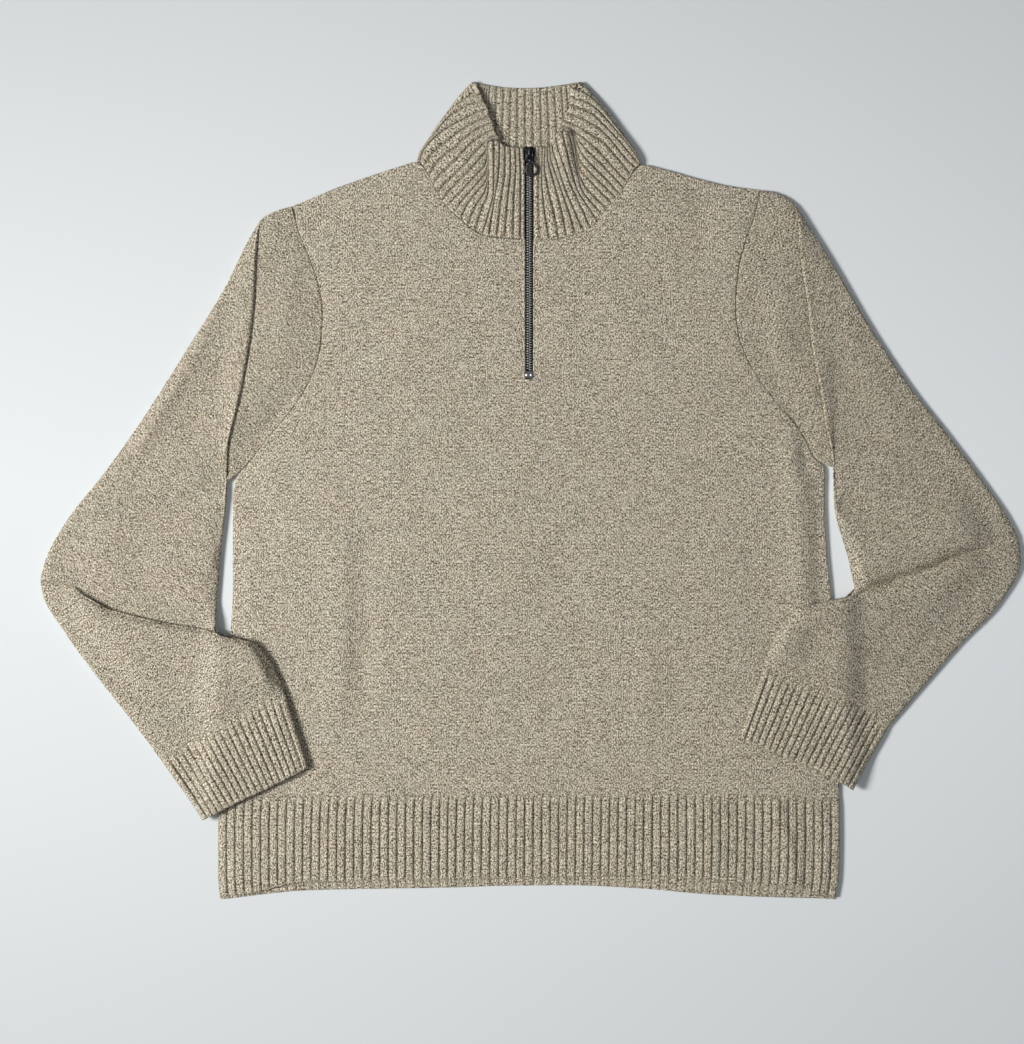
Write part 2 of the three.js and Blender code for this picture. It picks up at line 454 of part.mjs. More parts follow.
piece('zip_tape_right', strip(chainMid + 0.2, chainMid + TAPE_W, 150.5, 384, -0.35 - TAPE_T, -0.35), TAPE, 0.9, 0);
piece('zip_chain', strip(chainMid - CHAIN_W / 2, chainMid + CHAIN_W / 2, 163.5, STOP_TOP - 0.4, 0, CHAIN_H), DARK, 0.45, 0.9);
piece('zip_stop', strip(chainMid - 3.7, chainMid + 3.7, STOP_TOP, STOP_END, 0, 3.0), STEEL, 0.35, 0.95);
piece('zip_slider', slider(), DARK, 0.4, 0.9);
piece('zip_pull', pull(), DARK, 0.4, 0.9);

export default garment;
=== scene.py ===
"""A quarter zip sweater laid flat on a pale cloth, seen from straight above."""
import math

import bmesh
import bpy
import numpy as np
from mathutils import Matrix, Vector

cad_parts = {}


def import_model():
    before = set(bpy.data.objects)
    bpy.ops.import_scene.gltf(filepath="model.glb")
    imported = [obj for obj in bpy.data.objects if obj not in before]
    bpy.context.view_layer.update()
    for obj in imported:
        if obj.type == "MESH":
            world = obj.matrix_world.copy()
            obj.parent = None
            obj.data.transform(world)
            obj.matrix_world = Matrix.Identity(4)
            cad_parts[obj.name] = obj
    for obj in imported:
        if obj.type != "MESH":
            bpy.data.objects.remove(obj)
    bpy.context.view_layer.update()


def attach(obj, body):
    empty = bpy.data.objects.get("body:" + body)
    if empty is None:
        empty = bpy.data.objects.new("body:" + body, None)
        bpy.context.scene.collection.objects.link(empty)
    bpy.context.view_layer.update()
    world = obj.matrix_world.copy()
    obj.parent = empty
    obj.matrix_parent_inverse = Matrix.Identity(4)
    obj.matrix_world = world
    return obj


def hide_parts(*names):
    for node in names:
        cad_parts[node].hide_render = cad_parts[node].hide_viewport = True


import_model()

STEP = 0.00094          # metres in one plan step
MM = 0.001


# ---------------------------------------------------------------- helpers
def world(P):
    """Plan steps and mm to metres."""
    P = np.asarray(P, float)
    return np.stack([(P[..., 0] - 530.8) * STEP, (490.77 - P[..., 1]) * STEP, P[..., 2] * MM], -1)


def smooth(t):
    t = np.clip(t, 0, 1)
    return t * t * (3 - 2 * t)


def mix(a, b, t):
    return a + (b - a) * t


def curve(rows):
    """A smooth curve through the rows that never overshoots them."""
    x = np.array([r[0] for r in rows], float)
    y = np.array([r[1] for r in rows], float)
    h = np.diff(x)
    s = np.diff(y) / h
    m = np.empty_like(y)
    m[0], m[-1] = s[0], s[-1]
    for i in range(1, len(x) - 1):
        if s[i - 1] * s[i] <= 0:
            m[i] = 0
        else:
            a, b = 2 * h[i] + h[i - 1], h[i] + 2 * h[i - 1]
            m[i] = (a + b) / (a / s[i - 1] + b / s[i])

    def f(t):
        t = np.clip(np.asarray(t, float), x[0], x[-1])
        i = np.clip(np.searchsorted(x, t, "right") - 1, 0, len(x) - 2)
        u = (t - x[i]) / h[i]
        return ((1 + 2 * u) * (1 - u) ** 2 * y[i] + u * (1 - u) ** 2 * h[i] * m[i]
                + u * u * (3 - 2 * u) * y[i + 1] + u * u * (u - 1) * h[i] * m[i + 1])
    return f


def path(points, n):
    """n points, evenly spaced, on a smooth line through the points."""
    p = np.array(points, float)
    k = np.r_[0, np.cumsum(np.hypot(*np.diff(p, axis=0).T))]
    fs = [curve(list(zip(k, p[:, c]))) for c in range(p.shape[1])]
    t = np.linspace(0, k[-1], n) if np.isscalar(n) else np.asarray(n) * k[-1]
    return np.stack([f(t) for f in fs], -1)


def near(px, py, line):
    """Distance, signed side and share along a line, for each point."""
    L = np.asarray(line, float)
    seg = np.hypot(*np.diff(L, axis=0).T)
    total, done = seg.sum(), 0.0
    best = np.full(np.shape(px), 1e9)
    side = np.zeros(np.shape(px))
    along = np.zeros(np.shape(px))
    for a, b, ln in zip(L[:-1], L[1:], seg):
        if ln < 1e-9:
            continue
        ex, ey = (b - a) / ln
        qx, qy = px - a[0], py - a[1]
        t = np.clip(qx * ex + qy * ey, 0, ln)
        d = np.hypot(qx - t * ex, qy - t * ey)
        m = d < best
        best = np.where(m, d, best)
        side = np.where(m, np.sign(ex * qy - ey * qx), side)
        along = np.where(m, (done + t) / total, along)
        done += ln
    return best, side, along


def soft(px, py, folds):
    """Height in mm of soft ridges and troughs: (points, height, width on the line's left, width on its right, ends)."""
    z = np.zeros(np.shape(px))
    for pts, h, wl, wr, *ends in folds:
        d, s, a = near(px, py, path(pts, 24))
        e0, e1 = ends if ends else (0.3, 0.3)
        taper = smooth(a / max(e0, 1e-3)) * smooth((1 - a) / max(e1, 1e-3))
        # past an end the distance already fades it
        z += h * taper * np.exp(-(d / np.where(s < 0, wl, wr)) ** 2)
    return z


def waves(px, py, size, seed, n=9):
    """Gentle uneven undulation, about -1 to 1."""
    r = np.random.RandomState(seed)
    z = np.zeros(np.shape(px))
    for _ in range(n):
        a, k, p = r.uniform(0, math.tau), math.tau / (size * r.uniform(0.6, 1.7)), r.uniform(0, math.tau)
        z += np.sin((px * math.cos(a) + py * math.sin(a)) * k + p)
    return z / math.sqrt(n) * 0.9


def stations(length, step, near_ends=(), centre=()):
    """Values from 0 to length about step apart, with extra ones at both ends."""
    e = sorted(near_ends)
    last = e[-1] if e else 0
    n = max(2, int(round((length - 2 * last) / step)))
    mid = np.linspace(last, length - last, n + 1)
    v = np.r_[e[:-1], mid, [length - x for x in e[::-1][1:]]] if e else mid
    return np.array(sorted(v))


ALL = []


def make(name, patches, mat, node=None, body="garment", replaces=()):
    """A closed mesh welded from grids of points. A patch is (points, uv) with points (rows, columns, 3) in plan steps and mm."""
    vs, fs, uvs = [], [], []
    at = 0
    for patch in patches:
        P, uv = patch[0], patch[1]
        flip = len(patch) > 2 and patch[2]
        r, c = P.shape[:2]
        vs.append(world(P).reshape(-1, 3))
        uvs.append(np.asarray(uv, float).reshape(-1, 2))
        i = np.arange(r * c).reshape(r, c) + at
        q = np.stack([i[:-1, :-1], i[:-1, 1:], i[1:, 1:], i[1:, :-1]], -1).reshape(-1, 4)
        fs.append(q[:, ::-1] if flip else q)
        at += r * c
    V, UV, F = np.concatenate(vs), np.concatenate(uvs), np.concatenate(fs)
    key = np.round(V / 2e-7).astype(np.int64)
    _, first, inv = np.unique(key, axis=0, return_index=True, return_inverse=True)
    inv = inv.reshape(-1)
    W = V[first]
    G = inv[F]
    # drop collapsed quads, keep triangles
    same = (G == np.roll(G, -1, 1))
    full = ~same.any(1)
    part = (same.sum(1) == 1)
    quad, quv = G[full], UV[F[full]]
    tri, tuv = [], []
    for g, f, s in zip(G[part], F[part], same[part]):
        k = [j for j in range(4) if not s[j]]
        if len({int(g[j]) for j in k}) == 3:
            tri.append([g[j] for j in k])
            tuv.append([UV[f[j]] for j in k])
    nq, nt = len(quad), len(tri)
    idx = np.r_[quad.reshape(-1), np.array(tri, int).reshape(-1)].astype(np.int32)
    lu = np.concatenate([quv.reshape(-1, 2), np.array(tuv, float).reshape(-1, 2)])
    me = bpy.data.meshes.new(name)
    me.vertices.add(len(W))
    me.vertices.foreach_set("co", W.astype(np.float32).reshape(-1))
    me.loops.add(len(idx))
    me.loops.foreach_set("vertex_index", idx)
    me.polygons.add(nq + nt)
    me.polygons.foreach_set("loop_start", np.r_[np.arange(nq) * 4, nq * 4 + np.arange(nt) * 3].astype(np.int32))
    me.polygons.foreach_set("loop_total", np.r_[np.full(nq, 4), np.full(nt, 3)].astype(np.int32))
    me.update(calc_edges=True)
    lay = me.uv_layers.new(name="knit")
    lay.data.foreach_set("uv", lu.astype(np.float32).reshape(-1))
    bm = bmesh.new()
    bm.from_mesh(me)
    open_edges = sum(1 for e in bm.edges if len(e.link_faces) != 2)
    bmesh.ops.recalc_face_normals(bm, faces=bm.faces)
    if bm.calc_volume(signed=True) < 0:
        bmesh.ops.reverse_faces(bm, faces=bm.faces)
    for f in bm.faces:
        f.smooth = True
    vol = bm.calc_volume()
    area = sum(f.calc_area() for f in bm.faces)
    bm.to_mesh(me)
    bm.free()
    print(f"{name}: {len(me.polygons)} faces, open or doubled edges {open_edges}, volume {vol * 1e6:.1f} cm3, skin {area:.4f} m2")
    me.materials.append(mat)
    ob = bpy.data.objects.new(name, me)
    bpy.context.scene.collection.objects.link(ob)
    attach(ob, body)
    if replaces:
        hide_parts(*replaces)
    ALL.append(ob)
    return ob


# ---------------------------------------------------------------- outlines, in plan steps
leftEdge = curve([[206, 292], [232, 299], [260, 310.5], [284, 318.5], [310, 323], [340, 321.5], [367, 315.5], [390, 305], [414, 288],
                  [438, 268], [458, 252], [466, 244.8], [471, 240.2], [477, 236.4], [486, 234.3], [500, 233], [545, 232.5], [590, 232.5],
                  [635, 230], [700, 226.5], [797, 219.5], [830, 218], [875, 218], [900, 220]])
rightEdge = curve([[190, 761], [215, 754.5], [238, 746.5], [270, 738.5], [307, 735.6], [332, 738], [356, 746], [380, 760], [406, 779.5],
                   [424, 795], [437, 804], [446, 808.5], [452, 811], [458, 814.5], [463, 820.5], [467, 824.6], [473, 825.5], [500, 825],
                   [530, 826], [560, 828], [590, 831], [650, 834], [720, 837], [793, 839.5], [830, 840], [875, 839], [900, 835]])
SH_L = [[292, 206], [312, 197.5], [344, 184.5], [376, 173.5], [400, 165.8], [416, 161.5]]
SH_R = [[640, 164], [664, 169], [696, 178], [728, 185.5], [761, 190]]
NECK_F = [[416, 161.5], [421, 163], [424, 167.5], [427, 172.5], [430, 177.5], [433.4, 184], [436, 189.6], [439.3, 195.5], [446, 205.5],
          [450.6, 210.9], [455, 215], [461.5, 220.2], [467, 225.2], [473.8, 230.4], [480, 234], [488.4, 236.2], [500, 238], [512, 238.8],
          [524, 239.2], [534.5, 239.8], [541, 240], [558.5, 239.6], [564, 238], [573, 234.6], [580.4, 231.6], [587.6, 229], [594, 225],
          [600.4, 217], [606, 209], [612, 203.4], [616.7, 198.6], [619.5, 195.6], [622.2, 190.6], [627, 182.4], [631.3, 174], [636, 167.5],
          [640, 164]]
NECK_B = [[416, 161.5], [440, 174], [480, 178.5], [530, 180], [580, 178.5], [616, 173], [640, 164]]
frontTop = curve(SH_L[:5] + NECK_F + SH_R[1:])
backTop = curve(SH_L[:5] + NECK_B + SH_R[1:])
hemSeam = curve([[219, 797], [360, 796], [530, 794.5], [700, 793.5], [780, 795.5], [840, 799]])
hemFront = curve([[220, 897], [250, 893.5], [308, 882], [373, 881], [460, 880], [500, 878], [569, 877], [638, 875.5], [707, 879],
                  [752, 883.5], [798, 889], [817, 895], [835, 898]])
hemBack = curve([[220, 900], [308, 891], [373, 889.5], [460, 888], [500, 886.5], [569, 886], [638, 889], [707, 895], [775, 898],
                 [817, 899], [835, 900]])
SIDES = [SH_L, SH_R, [[243, 471], [235.5, 486], [233, 500], [232.5, 590], [230, 635], [219.5, 797], [218, 840], [218, 900]],
         [[811, 458], [818, 463], [825.5, 473], [825, 500], [831, 590], [839.5, 793], [840, 840], [837, 900]]]


def sides(px, py):
    d = np.full(np.shape(px), 1e9)
    for s in SIDES:
        d = np.minimum(d, near(px, py, s)[0])
    return d


def frontZ(px, py):
    return mix(2.55, 4.8, smooth(sides(px, py) * 0.94 / 22))


def rnd(d, r):
    """0 at an edge, rising as a quarter circle to 1 at distance r."""
    return np.sqrt(np.clip(1 - (1 - np.clip(d / r, 0, 1)) ** 2, 0, 1))


def border(P, skip=()):
    """The outline of a grid of plan points."""
    e = []
    if "s0" not in skip:
        e.append(P[0])
    if "t1" not in skip:
        e.append(P[:, -1])
    if "s1" not in skip:
        e.append(P[-1][::-1])
    if "t0" not in skip:
        e.append(P[::-1, 0])
    return e


def edge_distance(px, py, lines):
    d = np.full(np.shape(px), 1e9)
    for L in lines:
        L = np.asarray(L, float)[:, :2]
        k = np.r_[True, np.hypot(*np.diff(L, axis=0).T) > 1e-6]
        d = np.minimum(d, near(px, py, L[k])[0])
    return d


# ---------------------------------------------------------------- surfaces
def nodes_of(mat):
    mat.use_nodes = True
    nt = mat.node_tree
    nt.nodes.clear()
    return nt


class Graph:
    """Short words for building a material."""

    def __init__(self, name):
        self.mat = bpy.data.materials.new(name)
        self.nt = nodes_of(self.mat)

    def node(self, kind, **props):
        n = self.nt.nodes.new(kind)
        for k, v in props.items():
            setattr(n, k, v)
        return n

    def put(self, sock, v):
        if isinstance(v, bpy.types.NodeSocket):
            self.nt.links.new(v, sock)
        else:
            sock.default_value = v

    def math(self, op, a, b=None, c=None, clamp=False):
        n = self.node("ShaderNodeMath", operation=op, use_clamp=clamp)
        for s, v in zip(n.inputs, (a, b, c)):
            if v is not None:
                self.put(s, v)
        return n.outputs[0]

    def noise(self, vec, scale, detail=2.0, rough=0.5):
        n = self.node("ShaderNodeTexNoise", noise_dimensions="3D")
        self.put(n.inputs["Vector"], vec)
        n.inputs["Scale"].default_value = scale
        n.inputs["Detail"].default_value = detail
        n.inputs["Roughness"].default_value = rough
        return n

    def ramp(self, fac, stops, kind="LINEAR"):
        n = self.node("ShaderNodeValToRGB")
        n.color_ramp.interpolation = kind
        el = n.color_ramp.elements
        while len(el) > 1:
            el.remove(el[-1])
        el[0].position, el[0].color = stops[0][0], (*stops[0][1], 1)
        for p, c in stops[1:]:
            e = el.new(p)
            e.color = (*c, 1)
        self.put(n.inputs[0], fac)
        return n.outputs[0]

    def mixc(self, kind, fac, a, b):
        n = self.node("ShaderNodeMix", data_type="RGBA", blend_type=kind)
        self.put(n.inputs["Factor"], fac)
        for s, v in ((n.inputs[6], a), (n.inputs[7], b)):
            self.put(s, v if isinstance(v, bpy.types.NodeSocket) else (*v, 1))
        return n.outputs[2]

    def finish(self, bsdf):
        out = self.node("ShaderNodeOutputMaterial")
        self.nt.links.new(bsdf.outputs[0], out.inputs[0])
        return self.mat


def lin(r, g, b):
    return tuple(((c / 255) / 12.92 if c <= 10 else (((c / 255) + 0.055) / 1.055) ** 2.4) for c in (r, g, b))


def mix3(a, b, t):
    return tuple(x + (y - x) * t for x, y in zip(a, b))


def knit_material(name, dark, mid, light, wide=0.0049, tall=0.0034, relief=0.0004, painted_rib_shade=False):
    """Marled yarn in V stitches, in its own metres, with painted shade between the stitches and, for ribs, in the
    grooves.
    """
    g = Graph(name)
    uv = g.node("ShaderNodeUVMap", uv_map="knit").outputs[0]
    sep = g.node("ShaderNodeSeparateXYZ")
    g.put(sep.inputs[0], uv)
    # the yarn wanders a little
    wob = g.noise(uv, 130.0, 2.0).outputs["Fac"]
    wob2 = g.noise(uv, 95.0, 1.0).outputs["Fac"]
    u = g.math("ADD", sep.outputs[0], g.math("MULTIPLY", g.math("SUBTRACT", wob, 0.5), 0.0022))
    v = g.math("ADD", sep.outputs[1], g.math("MULTIPLY", g.math("SUBTRACT", wob2, 0.5), 0.0022))
    U = g.math("DIVIDE", u, wide)
    V = g.math("DIVIDE", v, tall)
    tri = g.math("ABSOLUTE", g.math("SUBTRACT", g.math("MULTIPLY", g.math("FRACT", U), 2.0), 1.0))
    V2 = g.math("ADD", V, g.math("MULTIPLY", tri, 0.55))
    leg = g.math("FLOOR", g.math("MULTIPLY", U, 2.0))
    row = g.math("FLOOR", V2)
    hv = g.math("SINE", g.math("MULTIPLY", g.math("FRACT", V2), math.pi))
    hu = g.math("SINE", g.math("MULTIPLY", g.math("FRACT", g.math("MULTIPLY", U, 2.0)), math.pi))
    h = g.math("POWER", g.math("MULTIPLY", hv, hu), 0.6)
    # each leg of yarn has its own shade
    comb = g.node("ShaderNodeCombineXYZ")
    g.put(comb.inputs[0], leg)
    g.put(comb.inputs[1], row)
    wn = g.node("ShaderNodeTexWhiteNoise", noise_dimensions="2D")
    g.put(wn.inputs["Vector"], comb.outputs[0])
    mp = g.node("ShaderNodeMapping")
    g.put(mp.inputs["Vector"], uv)
    mp.inputs["Scale"].default_value = (1.6, 0.82, 1.0)
    fleck = g.noise(mp.outputs[0], 680.0, 1.0, 0.6).outputs["Fac"]
    fine = g.noise(mp.outputs[0], 1120.0, 1.0, 0.6).outputs["Fac"]
    drop = g.noise(uv, 240.0, 2.0, 0.6).outputs["Fac"]
    val = g.math("ADD", g.math("MULTIPLY", g.math("SUBTRACT", wn.outputs["Value"], 0.5), 0.42),
                 g.math("MULTIPLY", g.math("SUBTRACT", fleck, 0.5), 5.5))
    val = g.math("ADD", val, g.math("MULTIPLY", g.math("SUBTRACT", fine, 0.5), 5.0))
    val = g.math("ADD", val, g.math("MULTIPLY", g.math("SUBTRACT", drop, 0.5), 0.7))
    val = g.math("ADD", val, 0.58, clamp=True)
    col = g.ramp(val, [(0.0, dark), (0.28, mix3(dark, mid, 0.45)), (0.55, mid), (1.0, light)])
    # slow drift between a warmer and a greener brown
    drift = g.noise(uv, 28.0, 3.0, 0.6).outputs["Fac"]
    tint = g.ramp(drift, [(0.35, (1.02, 0.985, 0.965)), (0.65, (0.985, 1.0, 0.985))])
    col = g.mixc("MULTIPLY", 1.0, col, tint)
    # painted shade: the colour darkens between the stitches, where the yarn legs dip
    painted_stitch_shade = g.math("ADD", g.math("MULTIPLY", h, 0.34), 0.72)
    cs = g.node("ShaderNodeCombineColor")
    for s in cs.inputs[:3]:
        g.put(s, painted_stitch_shade)
    col = g.mixc("MULTIPLY", 1.0, col, cs.outputs[0])
    if painted_rib_shade:
        # painted shade: the rib colour darkens towards each groove
        phase = g.math("SUBTRACT", g.math("DIVIDE", sep.outputs[0], 0.00735), 1 / 6)
        away = g.math("ABSOLUTE", g.math("SUBTRACT", g.math("FRACT", g.math("ADD", phase, 0.5)), 0.5))
        painted_groove_shade = g.ramp(away, [(0.0, (0.40, 0.37, 0.31)), (0.05, (0.52, 0.49, 0.43)), (0.13, (0.93, 0.92, 0.90)), (0.22, (1, 1, 1))])
        col = g.mixc("MULTIPLY", 0.85, col, painted_groove_shade)
    height = g.math("ADD", h, g.math("MULTIPLY", fleck, 0.8))
    bump = g.node("ShaderNodeBump")
    bump.inputs["Strength"].default_value = 0.8
    bump.inputs["Distance"].default_value = relief
    g.put(bump.inputs["Height"], height)
    b = g.node("ShaderNodeBsdfPrincipled")
    g.put(b.inputs["Base Color"], col)
    b.inputs["Roughness"].default_value = 0.95
    b.inputs["Specular IOR Level"].default_value = 0.12
    b.inputs["Sheen Weight"].default_value = 0.18
    b.inputs["Sheen Roughness"].default_value = 0.5
    b.inputs["Sheen Tint"].default_value = (1, 0.97, 0.9, 1)
    g.put(b.inputs["Normal"], bump.outputs[0])
    return g.finish(b)


def metal_material(name, color, rough, metallic=1.0, worn=0.25, scale=900.0):
    g = Graph(name)
    geo = g.node("ShaderNodeTexCoord").outputs["Object"]
    n = g.noise(geo, scale, 3.0).outputs["Fac"]
    col = g.ramp(n, [(0.3, tuple(c * (1 - worn) for c in color)), (0.7, tuple(min(1, c * (1 + worn)) for c in color))])
    b = g.node("ShaderNodeBsdfPrincipled")
    g.put(b.inputs["Base Color"], col)
    b.inputs["Metallic"].default_value = metallic
    rr = g.node("ShaderNodeMapRange")
    g.put(rr.inputs["Value"], n)
    rr.inputs["To Min"].default_value = rough * 0.8
    rr.inputs["To Max"].default_value = min(1.0, rough * 1.3)
    g.put(b.inputs["Roughness"], rr.outputs[0])
    return g.finish(b)


def tape_material(name, color):
    g = Graph(name)
    geo = g.node("ShaderNodeTexCoord").outputs["Object"]
    w = g.node("ShaderNodeTexWave", wave_type="BANDS", bands_direction="Y")
    g.put(w.inputs["Vector"], geo)
    w.inputs["Scale"].default_value = 500.0
    w.inputs["Distortion"].default_value = 1.0
    col = g.ramp(w.outputs["Fac"], [(0.2, tuple(c * 0.6 for c in color)), (0.8, color)])
    bump = g.node("ShaderNodeBump")
    bump.inputs["Strength"].default_value = 0.5
    bump.inputs["Distance"].default_value = 0.0002
    g.put(bump.inputs["Height"], w.outputs["Fac"])
    b = g.node("ShaderNodeBsdfPrincipled")
    g.put(b.inputs["Base Color"], col)
    b.inputs["Roughness"].default_value = 0.9
    g.put(b.inputs["Normal"], bump.outputs[0])
    return g.finish(b)


DARK, MID, LIGHT = lin(72, 59, 40), lin(186, 175, 154), lin(240, 232, 214)
KNIT = knit_material("oatmeal_knit", DARK, MID, LIGHT)
# painted shade: the sleeves use a darker copy of the knit colours, for the dimmer light on them
SLEEVE_KNIT_PAINTED_SHADE = knit_material("oatmeal_sleeve_knit_painted_shade", lin(68, 55, 37), lin(179, 168, 147), lin(232, 224, 206))
RIBM = knit_material("oatmeal_rib", DARK, lin(196, 185, 163), lin(244, 236, 218), relief=0.0005, painted_rib_shade=True)
TAPE = tape_material("dark_tape", lin(34, 32, 30))
GUN = metal_material("gunmetal", lin(74, 75, 79), 0.38, worn=0.35)
TEETH = metal_material("worn_teeth", lin(222, 220, 216), 0.36, worn=0.2)
STEEL = metal_material("worn_steel", lin(196, 198, 202), 0.28)

# ---------------------------------------------------------------- body front
SLOT_L, SLOT_R, SLOT_Y = 525.4, 533.1, 379.3
BODY_FOLDS = [
    # (points, height mm, width on the first side, on the second, end tapers)
    ([(338, 500), (341, 620), (334, 750)], 1.3, 13, 13),
    ([(366, 500), (366, 620), (356, 750)], -1.2, 12, 14),
    ([(650, 590), (648, 670), (640, 760)], 0.9, 16, 10),
    ([(790, 400), (797, 500), (802, 600), (806, 700)], 1.6, 12, 12, 0.15, 0.3),
    ([(820, 470), (823, 560), (828, 640)], -1.2, 8, 8, 0.1, 0.4),
    ([(740, 235), (752, 300), (760, 380)], 1.3, 16, 16),
    ([(697, 186), (703, 225), (700, 270)], -1.3, 12, 12, 0.1, 0.5),
    ([(600, 250), (630, 330), (660, 420)], 0.6, 22, 26),
    ([(440, 250), (420, 340), (400, 430)], 0.6, 24, 24),
    ([(395, 176), (350, 200), (300, 226)], -1.5, 12, 10, 0.1, 0.1),
    ([(245, 470), (262, 520), (272, 590)], -1.0, 12, 16, 0.05, 0.5),
    ([(500, 430), (505, 560), (498, 700)], 0.45, 26, 26),
    ([(560, 520), (570, 640), (560, 770)], -0.4, 24, 24),
    ([(430, 600), (425, 700), (432, 780)], 0.5, 18, 22),
    ([(715, 520), (720, 620), (712, 740)], 0.5, 22, 22),
    ([(765, 560), (770, 650), (772, 740)], -0.6, 14, 18),
    ([(790, 395), (805, 430), (812, 452)], -1.0, 8, 8, 0.3, 0.05),
    ([(804, 445), (807, 459), (803, 476)], -3.2, 4.5, 4.5, 0.2, 0.2),
    ([(813, 458), (818, 466), (821, 482)], 1.4, 4, 4, 0.1, 0.3),
]


def body_relief(px, py):
    return 1.5 * soft(px, py, BODY_FOLDS) + 0.34 * waves(px, py, 90, 3) + 0.10 * waves(px, py, 28, 5)


def panel_uv(P):
    return np.stack([(P[..., 0] - 530) * STEP, (490 - P[..., 1]) * STEP], -1)


near_e = [0, 0.5, 1.1, 2.0, 3.2, 5.0]
L379, R379 = float(leftEdge(SLOT_Y)), float(rightEdge(SLOT_Y))
uL, uR = (SLOT_L - L379) / (R379 - L379), (SLOT_R - L379) / (R379 - L379)
tl = stations(SLOT_L - L379, 4.0, near_e) / (SLOT_L - L379)
tr = stations(R379 - SLOT_R, 4.0, near_e) / (R379 - SLOT_R)
U_low = np.r_[tl * uL, np.linspace(uL, uR, 4)[1:-1], uR + tr * (1 - uR)]
s_low = stations(417, 3.8, near_e) / 417
S, U = np.meshgrid(s_low, U_low, indexing="ij")
bottom = hemSeam(mix(219.5, 839.5, U)) - 0.02
py = mix(bottom, SLOT_Y, S)
px = mix(leftEdge(py), rightEdge(py), U)
LOW = np.stack([px, py], -1)


def upper_block(t, xa, xb, ea, eb):
    """A block above the slot's foot: t across from the edge ea to eb, ending at frontTop between xa and xb."""
    s = stations(210, 3.6, near_e) / 210
    S, T = np.meshgrid(s, t, indexing="ij")
    xt = mix(xa, xb, T)
    top = frontTop(xt)
    py = mix(SLOT_Y, top, S)
    px = mix(ea(py), eb(py), T) + S ** 2 * (xt - mix(ea(top), eb(top), T))
    return np.stack([px, py], -1)


UPL = upper_block(tl, 292, SLOT_L, leftEdge, lambda y: np.full(np.shape(y), SLOT_L))
UPR = upper_block(tr, SLOT_R, 761, lambda y: np.full(np.shape(y), SLOT_R), rightEdge)
slot_edge = [[SLOT_L, 239], [SLOT_L, SLOT_Y], [SLOT_R, SLOT_Y], [SLOT_R, 239]]
outline = [LOW[0], LOW[:, 0], LOW[:, -1], UPL[:, 0], UPL[-1], slot_edge, UPR[-1], UPR[:, -1]]


def front_skins(P, fold=body_relief):
    px, py = P[..., 0], P[..., 1]
    d = edge_distance(px, py, outline) * 0.94
    zb = frontZ(px, py)
    rel = fold(px, py) * smooth(d / 14)
    rel = np.maximum(rel, 2.45 - zb)
    # the stitched line along the placket
    dx = np.minimum(np.abs(px - 522.4) + 9 * (px > 530), np.abs(px - 535.9) + 9 * (px < 530))
    rel = rel - 0.45 * np.exp(-(dx / 0.8) ** 2) * (py < 378)
    # the neck, armhole and hem seams lie in a slight hollow
    seam = np.minimum(near(px, py, UPL[-1])[0], near(px, py, UPR[-1])[0])
    dip = 0.28 * np.exp(-(seam / 3.2) ** 2)
    arm = np.minimum(near(px, py, UPL[:, 0])[0], near(px, py, UPR[:, -1])[0])
    dip = dip + 0.42 * np.exp(-(arm / 4.0) ** 2)
    foot = near(px, py, LOW[0])[0] * 0.94
    mid = zb + 1.1
    # sewn edges are tight, the sides roll over
    free = np.minimum(near(px, py, LOW[:, 0])[0], near(px, py, LOW[:, -1])[0]) * 0.94
    other = edge_distance(px, py, outline[1:]) * 0.94
    r = np.minimum(np.minimum(rnd(other, 0.7), rnd(free, 3.4)), 0.8 + 0.2 * rnd(foot, 0.7))
    top = mid + rel - dip + 1.1 * r
    bot = mid + rel - dip - 1.1 * r
    edge = other < 1e-6
    bot = np.where(edge, top, np.maximum(bot, 2.3 + 0 * bot))
    return np.concatenate([P, top[..., None]], -1), np.concatenate([P, bot[..., None]], -1)


patches = []
for P in (LOW, UPL, UPR):
    a, b = front_skins(P)
    patches += [(a, panel_uv(a)), (b, panel_uv(b), True)]
    if P is LOW:
        g = np.stack([a[0], b[0]])
        patches.append((g, panel_uv(g), True))
body_front = make("sweater_front", patches, KNIT, replaces=["body_front"])

# ---------------------------------------------------------------- body back
u = stations(600, 8.0, near_e) / 600
s = stations(610, 8.0, near_e) / 610
S, U = np.meshgrid(s, u, indexing="ij")
xt = mix(292, 761, U)
topc = backTop(xt)
bottom = hemSeam(mix(219.5, 839.5, U)) - 0.18
py = mix(bottom, topc, S)
px = mix(leftEdge(py), rightEdge(py), U) + S ** 2 * (xt - mix(leftEdge(topc), rightEdge(topc), U))
BK = np.stack([px, py], -1)
d = edge_distance(px, py, border(BK)) * 0.94
a = np.concatenate([BK, (1.1 + 1.1 * rnd(d, 2.2))[..., None]], -1)
b = np.concatenate([BK, (1.1 - 1.1 * rnd(d, 2.2) + 0.25 * smooth(d / 30) * (0.5 + 0.5 * waves(px, py, 80, 9)))[..., None]], -1)
b[..., 2] = np.where(d < 1e-6, a[..., 2], np.clip(b[..., 2], 0.0, 1.1))
body_back = make("sweater_back", [(a, panel_uv(a)), (b, panel_uv(b), True)], KNIT, replaces=["body_back"])

# ---------------------------------------------------------------- hem rib
RIB_PHASES = np.array([0, 0.055, 0.12, 0.22, 0.5, 0.78, 0.88, 0.945])


def rib_columns(n, phases=RIB_PHASES):
    return np.r_[(np.arange(n)[:, None] + phases[None]).reshape(-1), n]


def groove(phase, width=0.085):
    """1 in a rib's groove, 0 on its flat top."""
    f = np.abs(phase - np.round(phase))
    return np.exp(-(f / width) ** 2)


def rib_uv(phase, along):
    return np.stack([(phase + 1 / 6) * 0.00735, along * STEP], -1)


